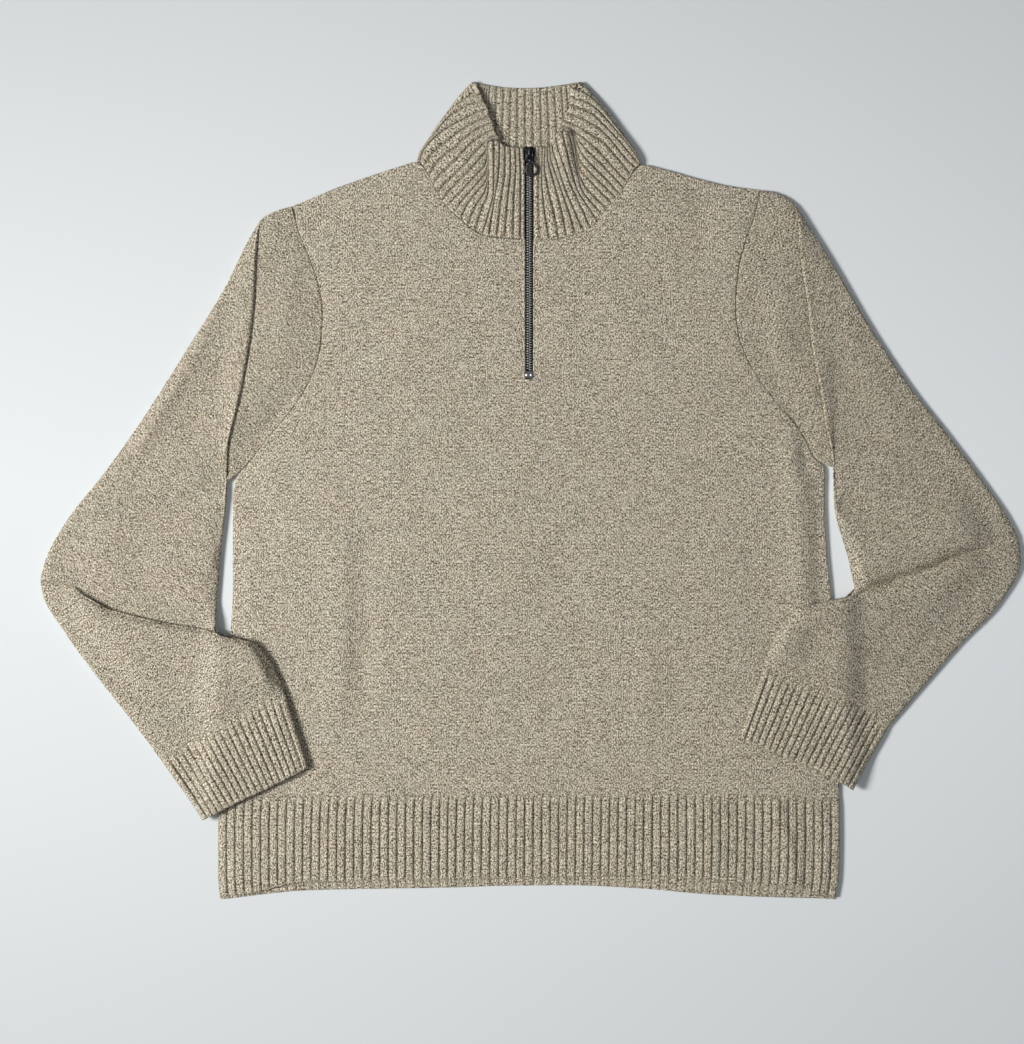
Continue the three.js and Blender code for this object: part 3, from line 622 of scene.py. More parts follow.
HEM_FOLDS = [([(776, 800), (790, 850), (799, 892)], 1.9, 5, 14, 0.05, 0.02),
             ([(806, 800), (812, 850), (812, 896)], -1.3, 8, 8, 0.1, 0.1),
             ([(700, 800), (704, 840), (708, 880)], 0.7, 18, 18, 0.1, 0.1),
             ([(560, 800), (565, 840), (560, 880)], -0.5, 20, 20, 0.1, 0.1),
             ([(330, 800), (336, 840), (330, 885)], 0.8, 16, 16, 0.1, 0.1),
             ([(365, 800), (368, 840), (372, 885)], -0.8, 14, 14, 0.1, 0.1)]


def hem(name, edge, zb_of, up, step, nodes):
    ph = rib_columns(73)
    s = stations(88, step, [0, 0.6, 1.4, 2.6, 4.2]) / 88
    S, H = np.meshgrid(s, ph, indexing="ij")
    U = H / 73
    y0 = hemSeam(mix(219.5, 839.5, U)) + 0.03
    y1 = edge(mix(220, 835, U))
    py = mix(y0, y1, S)
    px = mix(leftEdge(py), rightEdge(py), U) + 0.5 * np.sin(H * 0.37) * S
    P = np.stack([px, py], -1)
    d = edge_distance(px, py, border(P)) * 0.94
    inside = smooth(d / 6)
    g = groove(H) * (0.45 + 0.55 * inside)
    zb = zb_of(px, py)
    wave = (0.30 * waves(px, py, 60, 11) + 0.16 * waves(px, py * 0.2, 11, 12) + soft(px, py, HEM_FOLDS)) * inside
    mid = zb + 1.5
    if up:
        sewn = (py - y0) * 0.94
        low = edge_distance(px, py, border(P)[1:]) * 0.94
        r = np.minimum(rnd(low, 2.8), 0.8 + 0.2 * rnd(sewn, 0.6))
        g = groove(H) * smooth(low / 3) * smooth((sewn - 0.5) / 7)
        top = mid + wave + 1.5 * r - 1.5 * g - 0.45 * (1 - smooth(sewn / 9))
        bot = np.maximum(mid - 1.5 * rnd(d, 2.6) + wave, 2.25)
    else:
        top = mid + 1.5 * rnd(d, 2.6) - 0.7 * rnd(d, 3.0)
        bot = np.maximum(mid - 1.5 * rnd(d, 2.6) + 1.1 * g * rnd(d, 3.0), 0)
    if up:
        bot = np.maximum(mid - 1.5 * r + wave, 2.25)
        bot = np.where(low < 1e-6, top, np.minimum(bot, top - 0.25))
    else:
        bot = np.where(d < 1e-6, top, np.minimum(bot, top - 0.25))
    a = np.concatenate([P, top[..., None]], -1)
    b = np.concatenate([P, bot[..., None]], -1)
    uv = rib_uv(H, -py)
    strip = [(np.stack([a[0], b[0]]), np.stack([uv[0], uv[0] + 0.002]))] if up else []
    return make(name, [(a, uv), (b, uv, True)] + strip, RIBM, replaces=nodes)


hem_front = hem("hem_rib_front", hemFront, lambda px, py: frontZ(px, py) - 0.25 + 0.3 * smooth(1 - sides(px, py) / 20), True, 4.2, ["hem_front"])
hem_back = hem("hem_rib_back", hemBack, lambda px, py: 0 * px, False, 14, ["hem_back"])


# ---------------------------------------------------------------- sleeves
CAP_L = [[283.5, 208, 241.2, 470.4, 0.28], [274, 211.5, 234.6, 476, 0.6], [264.5, 216.2, 226.0, 484, 0.94]]
ROWS_L = [[253, 231, 225.6, 496, 4], [223, 290, 224.8, 510, 2], [186, 350, 223.2, 527, 0], [148, 410, 221, 548, 0],
          [106, 470, 219.5, 568, 0], [66, 521, 217.8, 590, 0], [46.5, 556, 216.4, 611, 3], [40.3, 577, 216, 630, 5]]
AFTER_L = [[41.5, 593, 261.5, 648, 4], [66, 635, 268.5, 657.5, 2], [99, 680, 275.5, 669.5, 0], [132, 722, 281, 682, 0]]
FOLD_L = [(262.2, 218), (258.6, 230), (252, 319), (239, 399), (231.2, 431.4), (228.4, 440.5), (224.2, 454.6), (222.1, 465), (221.4, 476), (222, 487)]
CROOK_L0 = [(40, 580), (60, 581), (73.6, 585), (82, 593.5), (96.5, 603), (109, 610), (122, 613.5), (148, 620), (173, 625), (213.7, 632), (222, 634)]
CROOK_L1 = [(40, 583), (60, 584), (73.6, 587), (82, 594), (96.5, 603), (109, 610), (122, 613.5), (148, 620), (173, 625), (213.7, 632), (232, 638.4), (250, 641), (257, 643.5)]
SEAM_L = [(161.2, 761), (170, 755.3), (192, 740.5), (217.7, 727.5), (251, 708), (275, 697), (286.3, 694.2)]
CAP_R = [[770, 190.8, 813.4, 455.2, 0.25], [781.5, 194.5, 822, 462.8, 0.55], [795.2, 204, 832.2, 466.6, 0.94]]
ROWS_R = [[806.5, 221, 834.3, 478, 3], [836, 268, 834.3, 493, 2], [872, 329, 835, 509, 0], [911, 387, 838.5, 525, 0],
          [951, 438, 844, 543, 0], [986, 484.5, 849, 560, 0], [1010, 520, 852, 576, 0], [1018.6, 538, 854.6, 590, 2]]
AFTER_R = [[1021.6, 561, 788, 616, 2], [1000, 604, 779, 629, 0], [962, 643.5, 772.5, 641.5, 0], [928, 682, 767, 655, 0]]
FOLD_R = [(797.6, 207), (801, 256), (808, 302), (815, 362), (822, 396.5), (825.4, 422), (828.2, 436), (831.8, 451.6), (834, 466.5)]
CROOK_R0 = [(1019.6, 543), (1000, 548), (962, 557), (948, 562.5), (933, 569), (904.5, 579), (888.7, 584.6), (855.7, 595.3), (848, 597.5)]
CROOK_R1 = [(1020.8, 547), (1000, 550), (962, 557.5), (948, 563), (933, 569), (904.5, 579), (888.7, 584.6), (855.7, 595.3), (830.5, 601.5), (797.5, 607.9), (790, 612.5)]
SEAM_R = [(888.4, 728), (877, 714), (863.5, 707), (840, 697.5), (816, 688.5), (790, 679.5), (768.5, 671.5), (761.7, 669.3)]
CUFF_L = [(203.2, 819.8), (240, 801), (275, 784.5), (309.3, 766.5)]
CUFF_R = [(852.5, 789.8), (828.6, 775.5), (791.7, 759.5), (760, 746.5), (737.6, 737)]


class Tube:
    """A flat tube of cloth: rings across it, smoothly joined along its length."""

    def __init__(self, rings, w):
        self.w = w
        self.C = np.stack(rings)                      # rings, points, 2
        step = np.hypot(*np.moveaxis(np.diff(self.C, axis=0), -1, 0)).mean(1)
        self.k = np.r_[0, np.cumsum(step)]
        self.f = [[curve(list(zip(self.k, self.C[:, j, c]))) for c in (0, 1)] for j in range(len(w))]

    def at(self, t):
        t = np.asarray(t, float)
        return np.stack([np.stack([f(t) for f in fj], -1) for fj in self.f], -2)   # (rows, points, 2)


def line_ring(r, w, sign):
    a, b = np.array(r[:2], float), np.array(r[2:4], float)
    p = mix(a[None], b[None], w[:, None])
    n = np.array([-(b - a)[1], (b - a)[0]]) / np.hypot(*(b - a))
    bow = r[4] if len(r) > 4 else 0
    return p + sign * n[None] * (bow * 4 * w * (1 - w))[:, None]


def sleeve_z(px, py, left):
    inside = (px - leftEdge(py)) if left else (rightEdge(py) - px)
    return 8.1 * smooth((inside + 34) / 29) * smooth((py - (598 if left else 566)) / 30)


def wale_uv(P, deg):
    """Plan metres turned so that the wales run at deg above the picture's right."""
    a = math.radians(deg)
    x, y = P[..., 0] * STEP, -P[..., 1] * STEP
    return np.stack([x * math.sin(a) - y * math.cos(a), x * math.cos(a) + y * math.sin(a)], -1)


def sleeve(name, left, cap, fold, rows, crook0, crook1, after, seam, angles, folds, node, gap):
    w = stations(225, 3.1, [0, 0.6, 1.3, 2.3, 3.6, 5.2]) / 225
    side = -1 if left else 1
    tip, arm = (206, 466) if left else (190, 446)
    edge = leftEdge if left else rightEdge
    yy = mix(tip, arm, w)
    A = np.stack([edge(yy) + side * gap, yy], -1)
    F = path(fold, w)
    rings = [A]
    for ox, oy, ix, iy, share in cap:
        r = mix(A, F, share)
        rings.append(r + mix(np.array([ox, oy]) - r[0], np.array([ix, iy]) - r[-1], w[:, None]))
    rings.append(F)
    kF = len(rings) - 1
    for r in rows:
        rings.append(line_ring(r, w, -side if r[1] < r[3] - 120 else side))
    rings.append(path(crook0, w))
    kC = len(rings) - 1
    rings.append(path(crook1, w))
    for r in after:
        rings.append(line_ring(r, w, -side * 0))
    rings.append(path(seam, w))
    T = Tube(rings, w)
    tF, tC0, tC1, tE = T.k[kF], T.k[kC], T.k[kC + 1], T.k[-1]

    def run(a, b, step, na, nb):
        n = max(2, int(round((b - a - na[-1] - nb[-1]) / step)))
        return np.r_[a + np.array(na[:-1]), np.linspace(a + na[-1], b - nb[-1], n + 1), b - np.array(nb[::-1][1:])]
    fine = [0.0, 0.8, 1.8, 3.2, 5.2]
    # (t, sideways, height) of each ring of the outer skin
    prof = [(t, 0, 0, 0) for t in run(0, tF, 3.0, fine, [0.0, 1.2, 2.4, 4.0])[:-1]]
    prof += [(tF, 0.8, -1.8, 1), (tF, 0.1, -3.8, 1), (tF, 0.8, -2.6, 1), (tF, 1.2, -0.9, 1), (tF, 0.9, 0.7, 1), (tF, -0.2, 1.3, 1)]
    prof += [(t, 0, 0, 0) for t in run(tF, tC0, 3.1, [0.0, 1.4, 2.6, 4.4], [0.0, 1.2, 2.4, 4.0])[1:-1]]
    prof += [(tC0, 0.8, -1.6, 2), (tC0, 0.0, -3.0, 2), (tC1, 1.2, -1.6, 2), (tC1, 1.8, 0.0, 2), (tC1, 1.0, 1.3, 2)]
    prof += [(t, 0, 0, 0) for t in run(tC1, tE, 3.0, [0.0, 1.4, 2.6, 4.4], fine)[1:]]
    t = np.array([p[0] for p in prof])
    off, dz, kind = (np.array([p[i] for p in prof]) for i in (1, 2, 3))
    P = T.at(t)
    # how freely the cloth moves at each fold, none where the rings turn about a point
    def fold_dir(ta, tb, reach=9.0):
        a, b = T.at(np.array([ta - reach]))[0], T.at(np.array([tb + reach]))[0]
        v = a - b
        ln = np.hypot(v[:, 0], v[:, 1])
        return v / np.maximum(ln, 1e-6)[:, None], np.clip(ln / (2 * reach + (tb - ta) * 0.3), 0.12, 1.0)
    nF, aF = fold_dir(tF, tF)
    nC, aC = fold_dir(tC0, tC1)
    aF = np.clip(aF * 1.7, 0, 1) * (0.25 + 0.75 * smooth(w / 0.12)) * (0.04 + 0.96 * smooth((1 - w) / 0.10))
    aC = aC * smooth((w - 0.10) / 0.22) * (0.35 + 0.65 * smooth((1 - w) / 0.05))
    nrm = np.where((kind == 1)[:, None, None], nF[None], nC[None])
    amt = np.where((kind == 1)[:, None], aF[None], aC[None]) * (kind > 0)[:, None]
    P = P + nrm * (off[:, None] * amt)[..., None]
    px, py = P[..., 0], P[..., 1]
    T2, W2 = np.broadcast_to(t[:, None], px.shape), np.broadcast_to(w[None], px.shape)
    ring = np.hypot(*np.moveaxis(np.diff(P, axis=1), -1, 0)).sum(1)[:, None]
    d = np.minimum(W2, 1 - W2) * ring * 0.94
    zb = sleeve_z(px, py, left)
    body = smooth(d / 12)
    # the later side of each fold lies higher, and sinks back along the sleeve
    upF = np.where(T2 >= tF - 1e-9, np.exp(-((T2 - tF) / 34)), 0) * np.where((kind == 1), 0, 1)[:, None]
    dnF = np.where(T2 < tF - 1e-9, np.exp(-((tF - T2) / 9)), 0)
    rise = 2.2 * upF * aF[None] - 1.5 * dnF * aF[None] + (dz * (kind == 1))[:, None] * amt
    rel = 1.9 * soft(px, py, folds) + 0.5 * waves(px, py, 75, 21 + left) + 0.14 * waves(px, py, 26, 31 + left)
    end = np.minimum(T2, tE - T2) * 0.94
    seam_dip = 0.45 * np.exp(-(T2 * 0.94 / 4.0) ** 2) 
    swell = 2.3 * np.exp(-(np.abs(T2 - tF) / 36) ** 2) * aF[None]
    d0, d1 = near(px, py, crook0)[0], near(px, py, crook1)[0]
    if left:
        before = np.interp(d0, [0, 4, 10, 17, 26, 40, 60, 90], [-2.6, -2.6, -2.4, -0.7, 1.6, 2.8, 1.4, 0])
    else:
        before = np.interp(d0, [0, 1.6, 4, 8, 14, 27, 56, 90], [-2.9, -2.9, 0.4, 5.0, 7.2, 7.4, 3.0, 0])
    after = np.interp(d1, [0, 1.4, 3, 8, 16, 40, 80, 120], [2.0, 4.6, 6.4, 7.6, 7.6, 5.2, 1.8, 0]) * smooth((tE - T2) / 45)
    crook = np.where(kind[:, None] == 2, 0, np.where(T2 < tC0, before, np.where(T2 > tC1, after, 0)))
    k2 = np.where(kind == 2)[0]
    crook[k2] = np.array([-2.8, -3.0, -0.6, 2.2, 4.2])[:, None]
    ends = 0.03 + 0.97 * smooth((w - 0.09) / 0.20) * (0.45 + 0.55 * smooth((1 - w) / 0.05))
    swell = swell + crook * ends[None] * np.where(T2 < tF + 4, 0, 1)
    top = zb + 3.4 + 3.4 * rnd(d, 6.0) + (swell + rise + rel * smooth(end / 10)) * body - seam_dip - 0.9 * (1 - rnd(T2 * 0.94, 0.7)) - 0.12 * (1 - rnd((tE - T2) * 0.94, 0.7))
    top = np.maximum(top, zb + 3.4 + 0.9 * rnd(d, 6.0))
    bot = zb + 3.4 - 3.4 * rnd(d, 5.0)
    bot = np.where(d < 1e-6, top, bot)
    a3 = np.concatenate([P, top[..., None]], -1)
    b3 = np.concatenate([P, bot[..., None]], -1)
    # the inner skin
    ti = np.r_[0, np.linspace(3, tE - 3, 34), tE]
    e = 2.2 / 0.94 / 225
    wi = mix(e, 1 - e, w)
    Q = T.at(ti)
    Qi = np.stack([np.stack([np.interp(wi, w, q[:, c]) for c in (0, 1)], -1) for q in Q])
    zi = sleeve_z(Qi[..., 0], Qi[..., 1], left)
    di = np.minimum(w, 1 - w)[None] * 225 * 0.94
    ri = rnd(np.broadcast_to(di, zi.shape), 5.0)
    atop = np.concatenate([Qi, (zi + 3.4 - 0.35 * ri)[..., None]], -1)
    abot = np.concatenate([Qi, (zi + 3.4 - 1.4 * ri)[..., None]], -1)
    i1 = int(np.argmax(kind == 1)) + 2
    i2 = int(np.argmax(kind == 2)) + 2
    patches = []
    for G, fl in ((a3, False), (b3, True)):
        for lo, hi, deg in ((0, i1, angles[0]), (i1, i2, angles[1]), (i2, len(t) - 1, angles[2])):
            g = G[lo:hi + 1]
            patches.append((g, wale_uv(g, deg), fl))
    for G, fl in ((atop, True), (abot, False)):
        patches.append((G, wale_uv(G, angles[1]), fl))
    for O, I, fl in ((a3, atop, False), (b3, abot, True)):
        for k in (0, -1):
            g = np.stack([O[k], I[k]])
            patches.append((g, wale_uv(g, angles[0 if k == 0 else 2]), fl))
    return make(name, patches, SLEEVE_KNIT_PAINTED_SHADE, replaces=[node])


FOLDS_SL = [
    ([(222, 296), (190, 360), (150, 430), (118, 485)], 1.3, 9, 11, 0.1, 0.3),
    ([(232, 470), (190, 500), (120, 528)], -1.5, 13, 11, 0.02, 0.4),
    ([(243, 400), (233, 425), (224, 445)], 1.0, 7, 7, 0.2, 0.2),
    ([(238, 330), (205, 400), (175, 470)], -0.6, 14, 12),
    ([(222, 560), (180, 570), (130, 572)], 0.9, 12, 14, 0.1, 0.4),
    ([(226, 500), (225, 530), (222, 560)], -1.0, 8, 8, 0.05, 0.4),
    ([(258, 436), (246, 452), (236, 464)], -0.8, 9, 12, 0.2, 0.02),
    ([(60, 590), (90, 625), (120, 670)], 1.0, 14, 12, 0.2, 0.4),
    ([(215, 655), (218, 705), (212, 735)], 0.8, 20, 20),
    ([(165, 640), (172, 690), (190, 738)], -0.7, 14, 16),
    ([(258, 655), (270, 690), (282, 715)], 0.6, 12, 9),
    ([(120, 560), (150, 590), (190, 612)], -1.3, 14, 12, 0.4, 0.3),
    ([(292, 240), (286, 320), (272, 400)], 0.8, 14, 14),
    ([(300, 385), (278, 415), (256, 445)], -0.9, 10, 12, 0.3, 0.05),
]
FOLDS_SR = [
    ([(800, 225), (812, 300), (822, 370)], -0.7, 9, 9),
    ([(835, 300), (868, 370), (905, 440)], 0.9, 13, 13),
    ([(845, 260), (900, 350), (960, 450)], -0.6, 16, 16),
    ([(838, 500), (880, 520), (930, 528)], -1.1, 11, 12, 0.05, 0.4),
    ([(850, 560), (900, 560), (950, 545)], 0.7, 12, 12, 0.1, 0.3),
    ([(760, 330), (780, 380), (800, 430)], -0.7, 10, 12, 0.3, 0.1),
    ([(772, 260), (776, 320), (790, 370)], 0.7, 11, 11),
    ([(985, 565), (950, 605), (905, 650)], -0.9, 16, 14),
    ([(900, 600), (870, 630), (840, 665)], 0.9, 16, 16),
    ([(820, 620), (812, 650), (800, 675)], -0.7, 14, 14),
    ([(1010, 560), (975, 605), (930, 650), (890, 700)], 0.5, 7, 7, 0.1, 0.1),
    ([(822, 440), (832, 470), (838, 500)], -1.2, 8, 8, 0.2, 0.4),
]
sleeve_left = sleeve("sleeve_left_knit", True, CAP_L, FOLD_L, ROWS_L, CROOK_L0, CROOK_L1, AFTER_L, SEAM_L, (40, 58, -59), FOLDS_SL, "sleeve_left", 0.12)
sleeve_right = sleeve("sleeve_right_knit", False, CAP_R, FOLD_R, ROWS_R, CROOK_R0, CROOK_R1, AFTER_R, SEAM_R, (-25, -60, 60), FOLDS_SR, "sleeve_right", 0.3)


# ---------------------------------------------------------------- cuffs
def cuff(name, left, seam, end, node, n, swap):
    ph = rib_columns(n)
    w = ph / n
    a, b = path(seam, w), path(end, w)
    v = (b - a) / np.hypot(*(b - a).T)[:, None]
    s = stations(64, 3.0, [0, 0.6, 1.4, 2.6]) / 64
    S = s[:, None]
    start = a + v * 0.04
    P = mix(start[None], b[None], S[..., None])
    px, py = P[..., 0], P[..., 1]
    W2 = np.broadcast_to(w[None], px.shape)
    S2 = np.broadcast_to(S, px.shape)
    d = np.minimum(W2, 1 - W2) * 132 * 0.94
    e = np.minimum(S2, 1 - S2) * 64 * 0.94
    zb = sleeve_z(px, py, left)
    g = groove(W2 * n, 0.10) * smooth((S2 * 60 - 0.5) / 8) * (0.3 + 0.7 * smooth((1 - S2) * 60 / 4))
    both = rnd(d, 5.5)
    rel = (0.6 * waves(px, py, 50, 41 + left) + 0.12 * waves(px, py, 14, 43)) * smooth(d / 10) * smooth(e / 6)
    # the last rib stands beside a double line at the edge
    lip = -0.9 * np.exp(-((d - 7.5) / 1.3) ** 2)
    e0, e1 = S2 * 60, (1 - S2) * 60
    join = mix(3.4 + 3.4 * both, 4.0 + 4.0 * both, smooth(e0 / 9))
    top = zb + join + rel - 1.7 * g * both - 0.12 * (1 - rnd(e0, 0.7)) * both - 1.5 * (1 - rnd(e1, 3.0)) * both + lip * both * smooth(e0 / 8)
    bot = zb + 4.0 - 4.0 * both + 1.1 * g * both + 1.2 * (1 - rnd(e, 3.0)) * both
    bot = np.where(d < 1e-6, top, bot)
    a3 = np.concatenate([P, top[..., None]], -1)
    b3 = np.concatenate([P, bot[..., None]], -1)
    k = 3.0 / 0.94 / 132
    wi = mix(k, 1 - k, w)
    Qi = np.stack([np.stack([np.interp(wi, w, q[:, c]) for c in (0, 1)], -1) for q in P[::4]])
    if (len(P) - 1) % 4:
        Qi = np.concatenate([Qi, np.stack([np.interp(wi, w, P[-1][:, c]) for c in (0, 1)], -1)[None]])
    zi = sleeve_z(Qi[..., 0], Qi[..., 1], left)
    ri = rnd(np.broadcast_to(np.minimum(w, 1 - w)[None] * 130, zi.shape), 5.0)
    it = np.concatenate([Qi, (zi + 4.0 + 0.9 * ri)[..., None]], -1)
    ib = np.concatenate([Qi, (zi + 4.0 - 0.9 * ri)[..., None]], -1)
    uv = rib_uv(W2 * n, S2 * 64)
    ui = rib_uv(np.broadcast_to(w[None] * n, zi.shape), np.linspace(0, 64, len(Qi))[:, None] + 0 * zi)
    patches = [(a3, uv), (b3, uv, True), (it, ui, True), (ib, ui)]
    for O, I in ((a3, it), (b3, ib)):
        for k2 in (0, -1):
            patches.append((np.stack([O[k2], I[k2]]), np.stack([uv[k2], uv[k2] + 0.002])))
    return make(name, patches, RIBM, replaces=[node])


cuff_left = cuff("cuff_rib_left", True, SEAM_L, CUFF_L, "cuff_left", 19, False)
cuff_right = cuff("cuff_rib_right", False, SEAM_R, CUFF_R, "cuff_right", 19, True)


# ---------------------------------------------------------------- collar
# Each groove of the rib, from the neck seam to the free edge; the number counts the ribs round the neck from the zip.
def lower(i):
    """A groove of the back of the neck, which lies underneath."""
    if i <= 26:
        k = i - 19
        sx, ex = [418, 424, 432, 440, 448.5, 457, 465.5, 474][k], [475.6, 476.4, 477.6, 479, 481.2, 483.4, 485.6, 487.8][k]
    elif i >= 39:
        k = i - 39
        sx, ex = [586, 594.5, 603, 611, 619, 627, 634, 639][k], [571, 572.4, 573.6, 574.8, 575.8, 576.6, 577.4, 578.2][k]
    else:
        sx = 530 + (i - 32.5) * 8.6
        ex = [490, 497, 504, 511, 518, 525.5, 532.5, 540.5, 547.5, 554.5, 561.5, 566.5][i - 27]
    ey = np.interp(ex, [470, 474, 488, 504, 520, 536, 552, 568, 580], [81, 80.8, 84, 86.5, 87.2, 87, 85.4, 83, 81])
    sy = np.interp(sx, [r[0] for r in NECK_B], [r[1] for r in NECK_B]) - 1.0
    return [(sx, sy), (mix(sx, ex, 0.5) + (ex - sx) * 0.06, mix(sy, ey, 0.5)), (ex, ey)]


GROOVES = {
    -0.55: [(524.7, 239), (524.9, 200), (524.8, 164), (524, 155), (523.4, 148.8)],
    0: [(520.3, 238.8), (520.8, 209), (520.8, 178), (519.6, 147.8)],
    1: [(513.5, 238.5), (514, 202), (516, 168), (515.5, 147.6)],
    2: [(505, 238), (508, 200), (510.8, 170), (510.5, 147.3)],
    3: [(497, 237), (502, 196), (505.3, 170), (505.3, 146.5)],
    4: [(489, 236), (495, 197), (499, 172), (500, 142.8)],
    5: [(482.5, 234.5), (489, 213), (493.7, 193), (494.2, 165), (494.4, 140.3)],
    5.6: [(479.3, 232.8), (486, 211), (490.8, 192), (490, 165), (488.8, 141)],
    6: [(475.5, 231), (482, 209), (488.3, 192), (488.4, 165), (488.1, 143), (489.6, 140.2), (494, 139.7)],
    7: [(468, 225.5), (476, 206), (485.5, 190.5), (488, 176), (488.1, 160), (487.8, 143), (489.6, 139.9), (496.5, 140)],
    8: [(461, 219.4), (467, 205.5), (477, 192), (486, 181), (487.8, 172), (487.5, 143), (489.6, 139.6), (498, 140.2)],
    9: [(453.5, 213.2), (464, 199), (478, 183), (486, 172.5), (487.5, 163), (487.2, 143), (489.8, 139.3), (499, 140)],
    10: [(447, 206.4), (459, 194), (476, 176), (485.6, 164), (487.2, 155), (487, 142.5), (489.8, 139), (499.6, 139.7)],
    11: [(442, 199.6), (456, 184.5), (470, 170), (481, 158), (486.4, 150), (487.4, 142), (491, 138.6), (500, 139)],
    12: [(437.4, 192), (450, 179), (463, 167), (476, 152), (487, 141), (492.5, 136.8), (497.6, 135.8)],
    13: [(433.2, 183.6), (444, 171.5), (455, 161), (468, 147), (480, 137), (494.5, 129.5)],
    14: [(428.6, 175), (441, 158.5), (454, 148.5), (470, 134.5), (481, 127.5), (492.8, 123)],
    15: [(423.6, 166), (435, 151), (450, 139), (462, 130), (474, 123), (489.5, 116.5)],
    16: [(419.4, 162), (422.5, 152.5), (432, 140.5), (450, 126.5), (466, 118), (478, 112), (488.4, 109.3)],
    17: [(418, 161.4), (420.4, 154.5), (427, 143), (437.5, 130), (449, 117), (460, 109.5), (470, 104.5), (483.5, 101.5)],
    18: [(417, 161), (418.9, 154.8), (427.8, 140.8), (438.3, 125.4), (448.4, 111.5), (454.5, 105.5), (461, 100.5), (470, 96), (480.3, 94)],
    18.5: [(416.3, 161), (418, 154.6), (427, 140), (437, 125), (448, 110), (457, 98), (464, 90), (470, 83.6), (474, 80.5)],
    46.5: [(640.8, 163.2), (637, 152), (630, 142), (620, 127), (610, 113), (600, 101), (590, 90), (580, 80.8)],
    47: [(640.4, 163), (636, 152.5), (627, 140.2), (616.6, 126.5), (606, 112.5), (594, 99.4), (583, 91), (571.5, 87)],
    48: [(640, 163.4), (635.8, 154.5), (630, 146.5), (619.6, 134.3), (606, 118.5), (590, 103.5), (570.6, 97)],
    49: [(639.4, 164.6), (631, 154.5), (619, 140.5), (605, 125.8), (590, 112.5), (569.5, 105)],
    50: [(635.8, 168.2), (623, 155), (613, 142.4), (600, 129), (585, 120), (567, 113.5)],
    51: [(631.5, 174.4), (616, 156), (604, 142.5), (590, 134), (578, 126.8), (563.5, 121)],
    52: [(627.6, 182), (618, 172), (607, 160), (594, 146.5), (583, 137.5), (575, 131.5), (569.5, 127.8), (560.6, 125.6)],
    53: [(624.2, 188), (612, 175), (596, 158.5), (584, 147), (577.4, 138), (573, 130.8), (568, 127.7), (560.4, 126.6)],
    54: [(620.6, 194.6), (610, 183), (594, 167), (582, 153.5), (576.8, 142), (573, 131.6), (568, 128.1), (561, 127.4)],
    55: [(617.4, 198.5), (606, 187.6), (592, 174), (580.5, 161), (576.3, 148), (573, 132.4), (568, 128.5), (561.8, 128)],
    56: [(612.6, 203.4), (600, 191), (588, 178.5), (579.8, 168), (575.7, 148), (572.7, 133), (568, 128.8), (563, 128.5)],
    57: [(607.6, 208.6), (596, 198), (585, 185.5), (579.2, 174), (575.2, 148), (572.3, 133.6), (569.4, 129.5), (565, 128.9)],
    58: [(602.8, 214.2), (593, 204), (582, 189.5), (576.6, 168), (572.5, 148), (568, 130.5)],
    59: [(598.2, 220.6), (590, 209), (577.6, 190), (571.8, 172), (566.5, 150), (561.5, 130.8)],
    60: [(591, 227.4), (580, 204), (570.4, 184), (562.6, 162), (558, 148), (555.5, 134.8)],
    61: [(583.8, 230.8), (574.4, 210), (564.8, 188), (558, 166), (552.9, 150), (551.6, 142.5)],
    62: [(575.8, 233.9), (568.6, 210), (561.4, 190), (554.4, 170), (550.6, 158), (550, 147)],
    63: [(567, 237.2), (562.4, 213), (556.5, 191), (551.2, 172), (547.6, 157), (547.8, 147.4)],
    64: [(559, 239.4), (554.6, 214), (550, 196), (546.8, 181), (544.6, 168), (545.4, 147.5)],
    65: [(549.6, 239.9), (546.2, 220), (543.4, 200), (541.9, 180), (542.6, 147.3)],
    66: [(541, 240), (539.4, 220), (538.8, 190), (539.3, 147)],
    66.6: [(533.8, 239.8), (533.7, 200), (533.8, 164), (534.5, 155), (536, 146.6)],
}
for i in range(19, 47):
    GROOVES[float(i)] = lower(i)
del GROOVES[46.0]
GROOVES = dict(sorted((float(k), v) for k, v in GROOVES.items()))
IDX = np.array(list(GROOVES))
r_rows = stations(90, 3.6, [0, 0.6, 1.4, 2.6]) / 90
ST = np.stack([path(v, r_rows) for v in GROOVES.values()])      # grooves, rows, 2
cols = np.unique(np.r_[-0.55, -0.48, -0.36, -0.2, rib_columns(66), 66.12, 66.3, 66.44, 66.53, 66.6])
turn_at = [(-0.55, 0), (16.6, 0), (17.3, 0.18), (18, 0.8), (18.5, 1.57), (19.0, 2.3), (20, 3.0), (21, math.pi), (44, math.pi), (45, 2.9), (46, 2.2),
           (46.5, 1.57), (47, 0.8), (47.8, 0.2), (48.6, 0), (66.6, 0)]
turn = np.interp(cols, [a[0] for a in turn_at], [a[1] for a in turn_at])
fp = [[curve(list(zip(IDX, ST[:, j, c]))) for c in (0, 1)] for j in range(len(r_rows))]
C2 = np.stack([np.stack([f(cols) for f in fj], -1) for fj in fp])  # rows, columns, 2
R2 = np.broadcast_to(r_rows[:, None], C2.shape[:2])
H2 = np.broadcast_to(cols[None], C2.shape[:2])
share = (1 - np.cos(turn)) / 2                                     # 0 on the front, 1 underneath
outw = np.where((cols < 33)[:, None], np.array([[-0.81, -0.585]]), np.array([[0.78, -0.63]]))
cx, cy = C2[..., 0], C2[..., 1]
pitch = np.gradient(cx, cols, axis=1) ** 2 + np.gradient(cy, cols, axis=1) ** 2
pitch = np.sqrt(pitch)
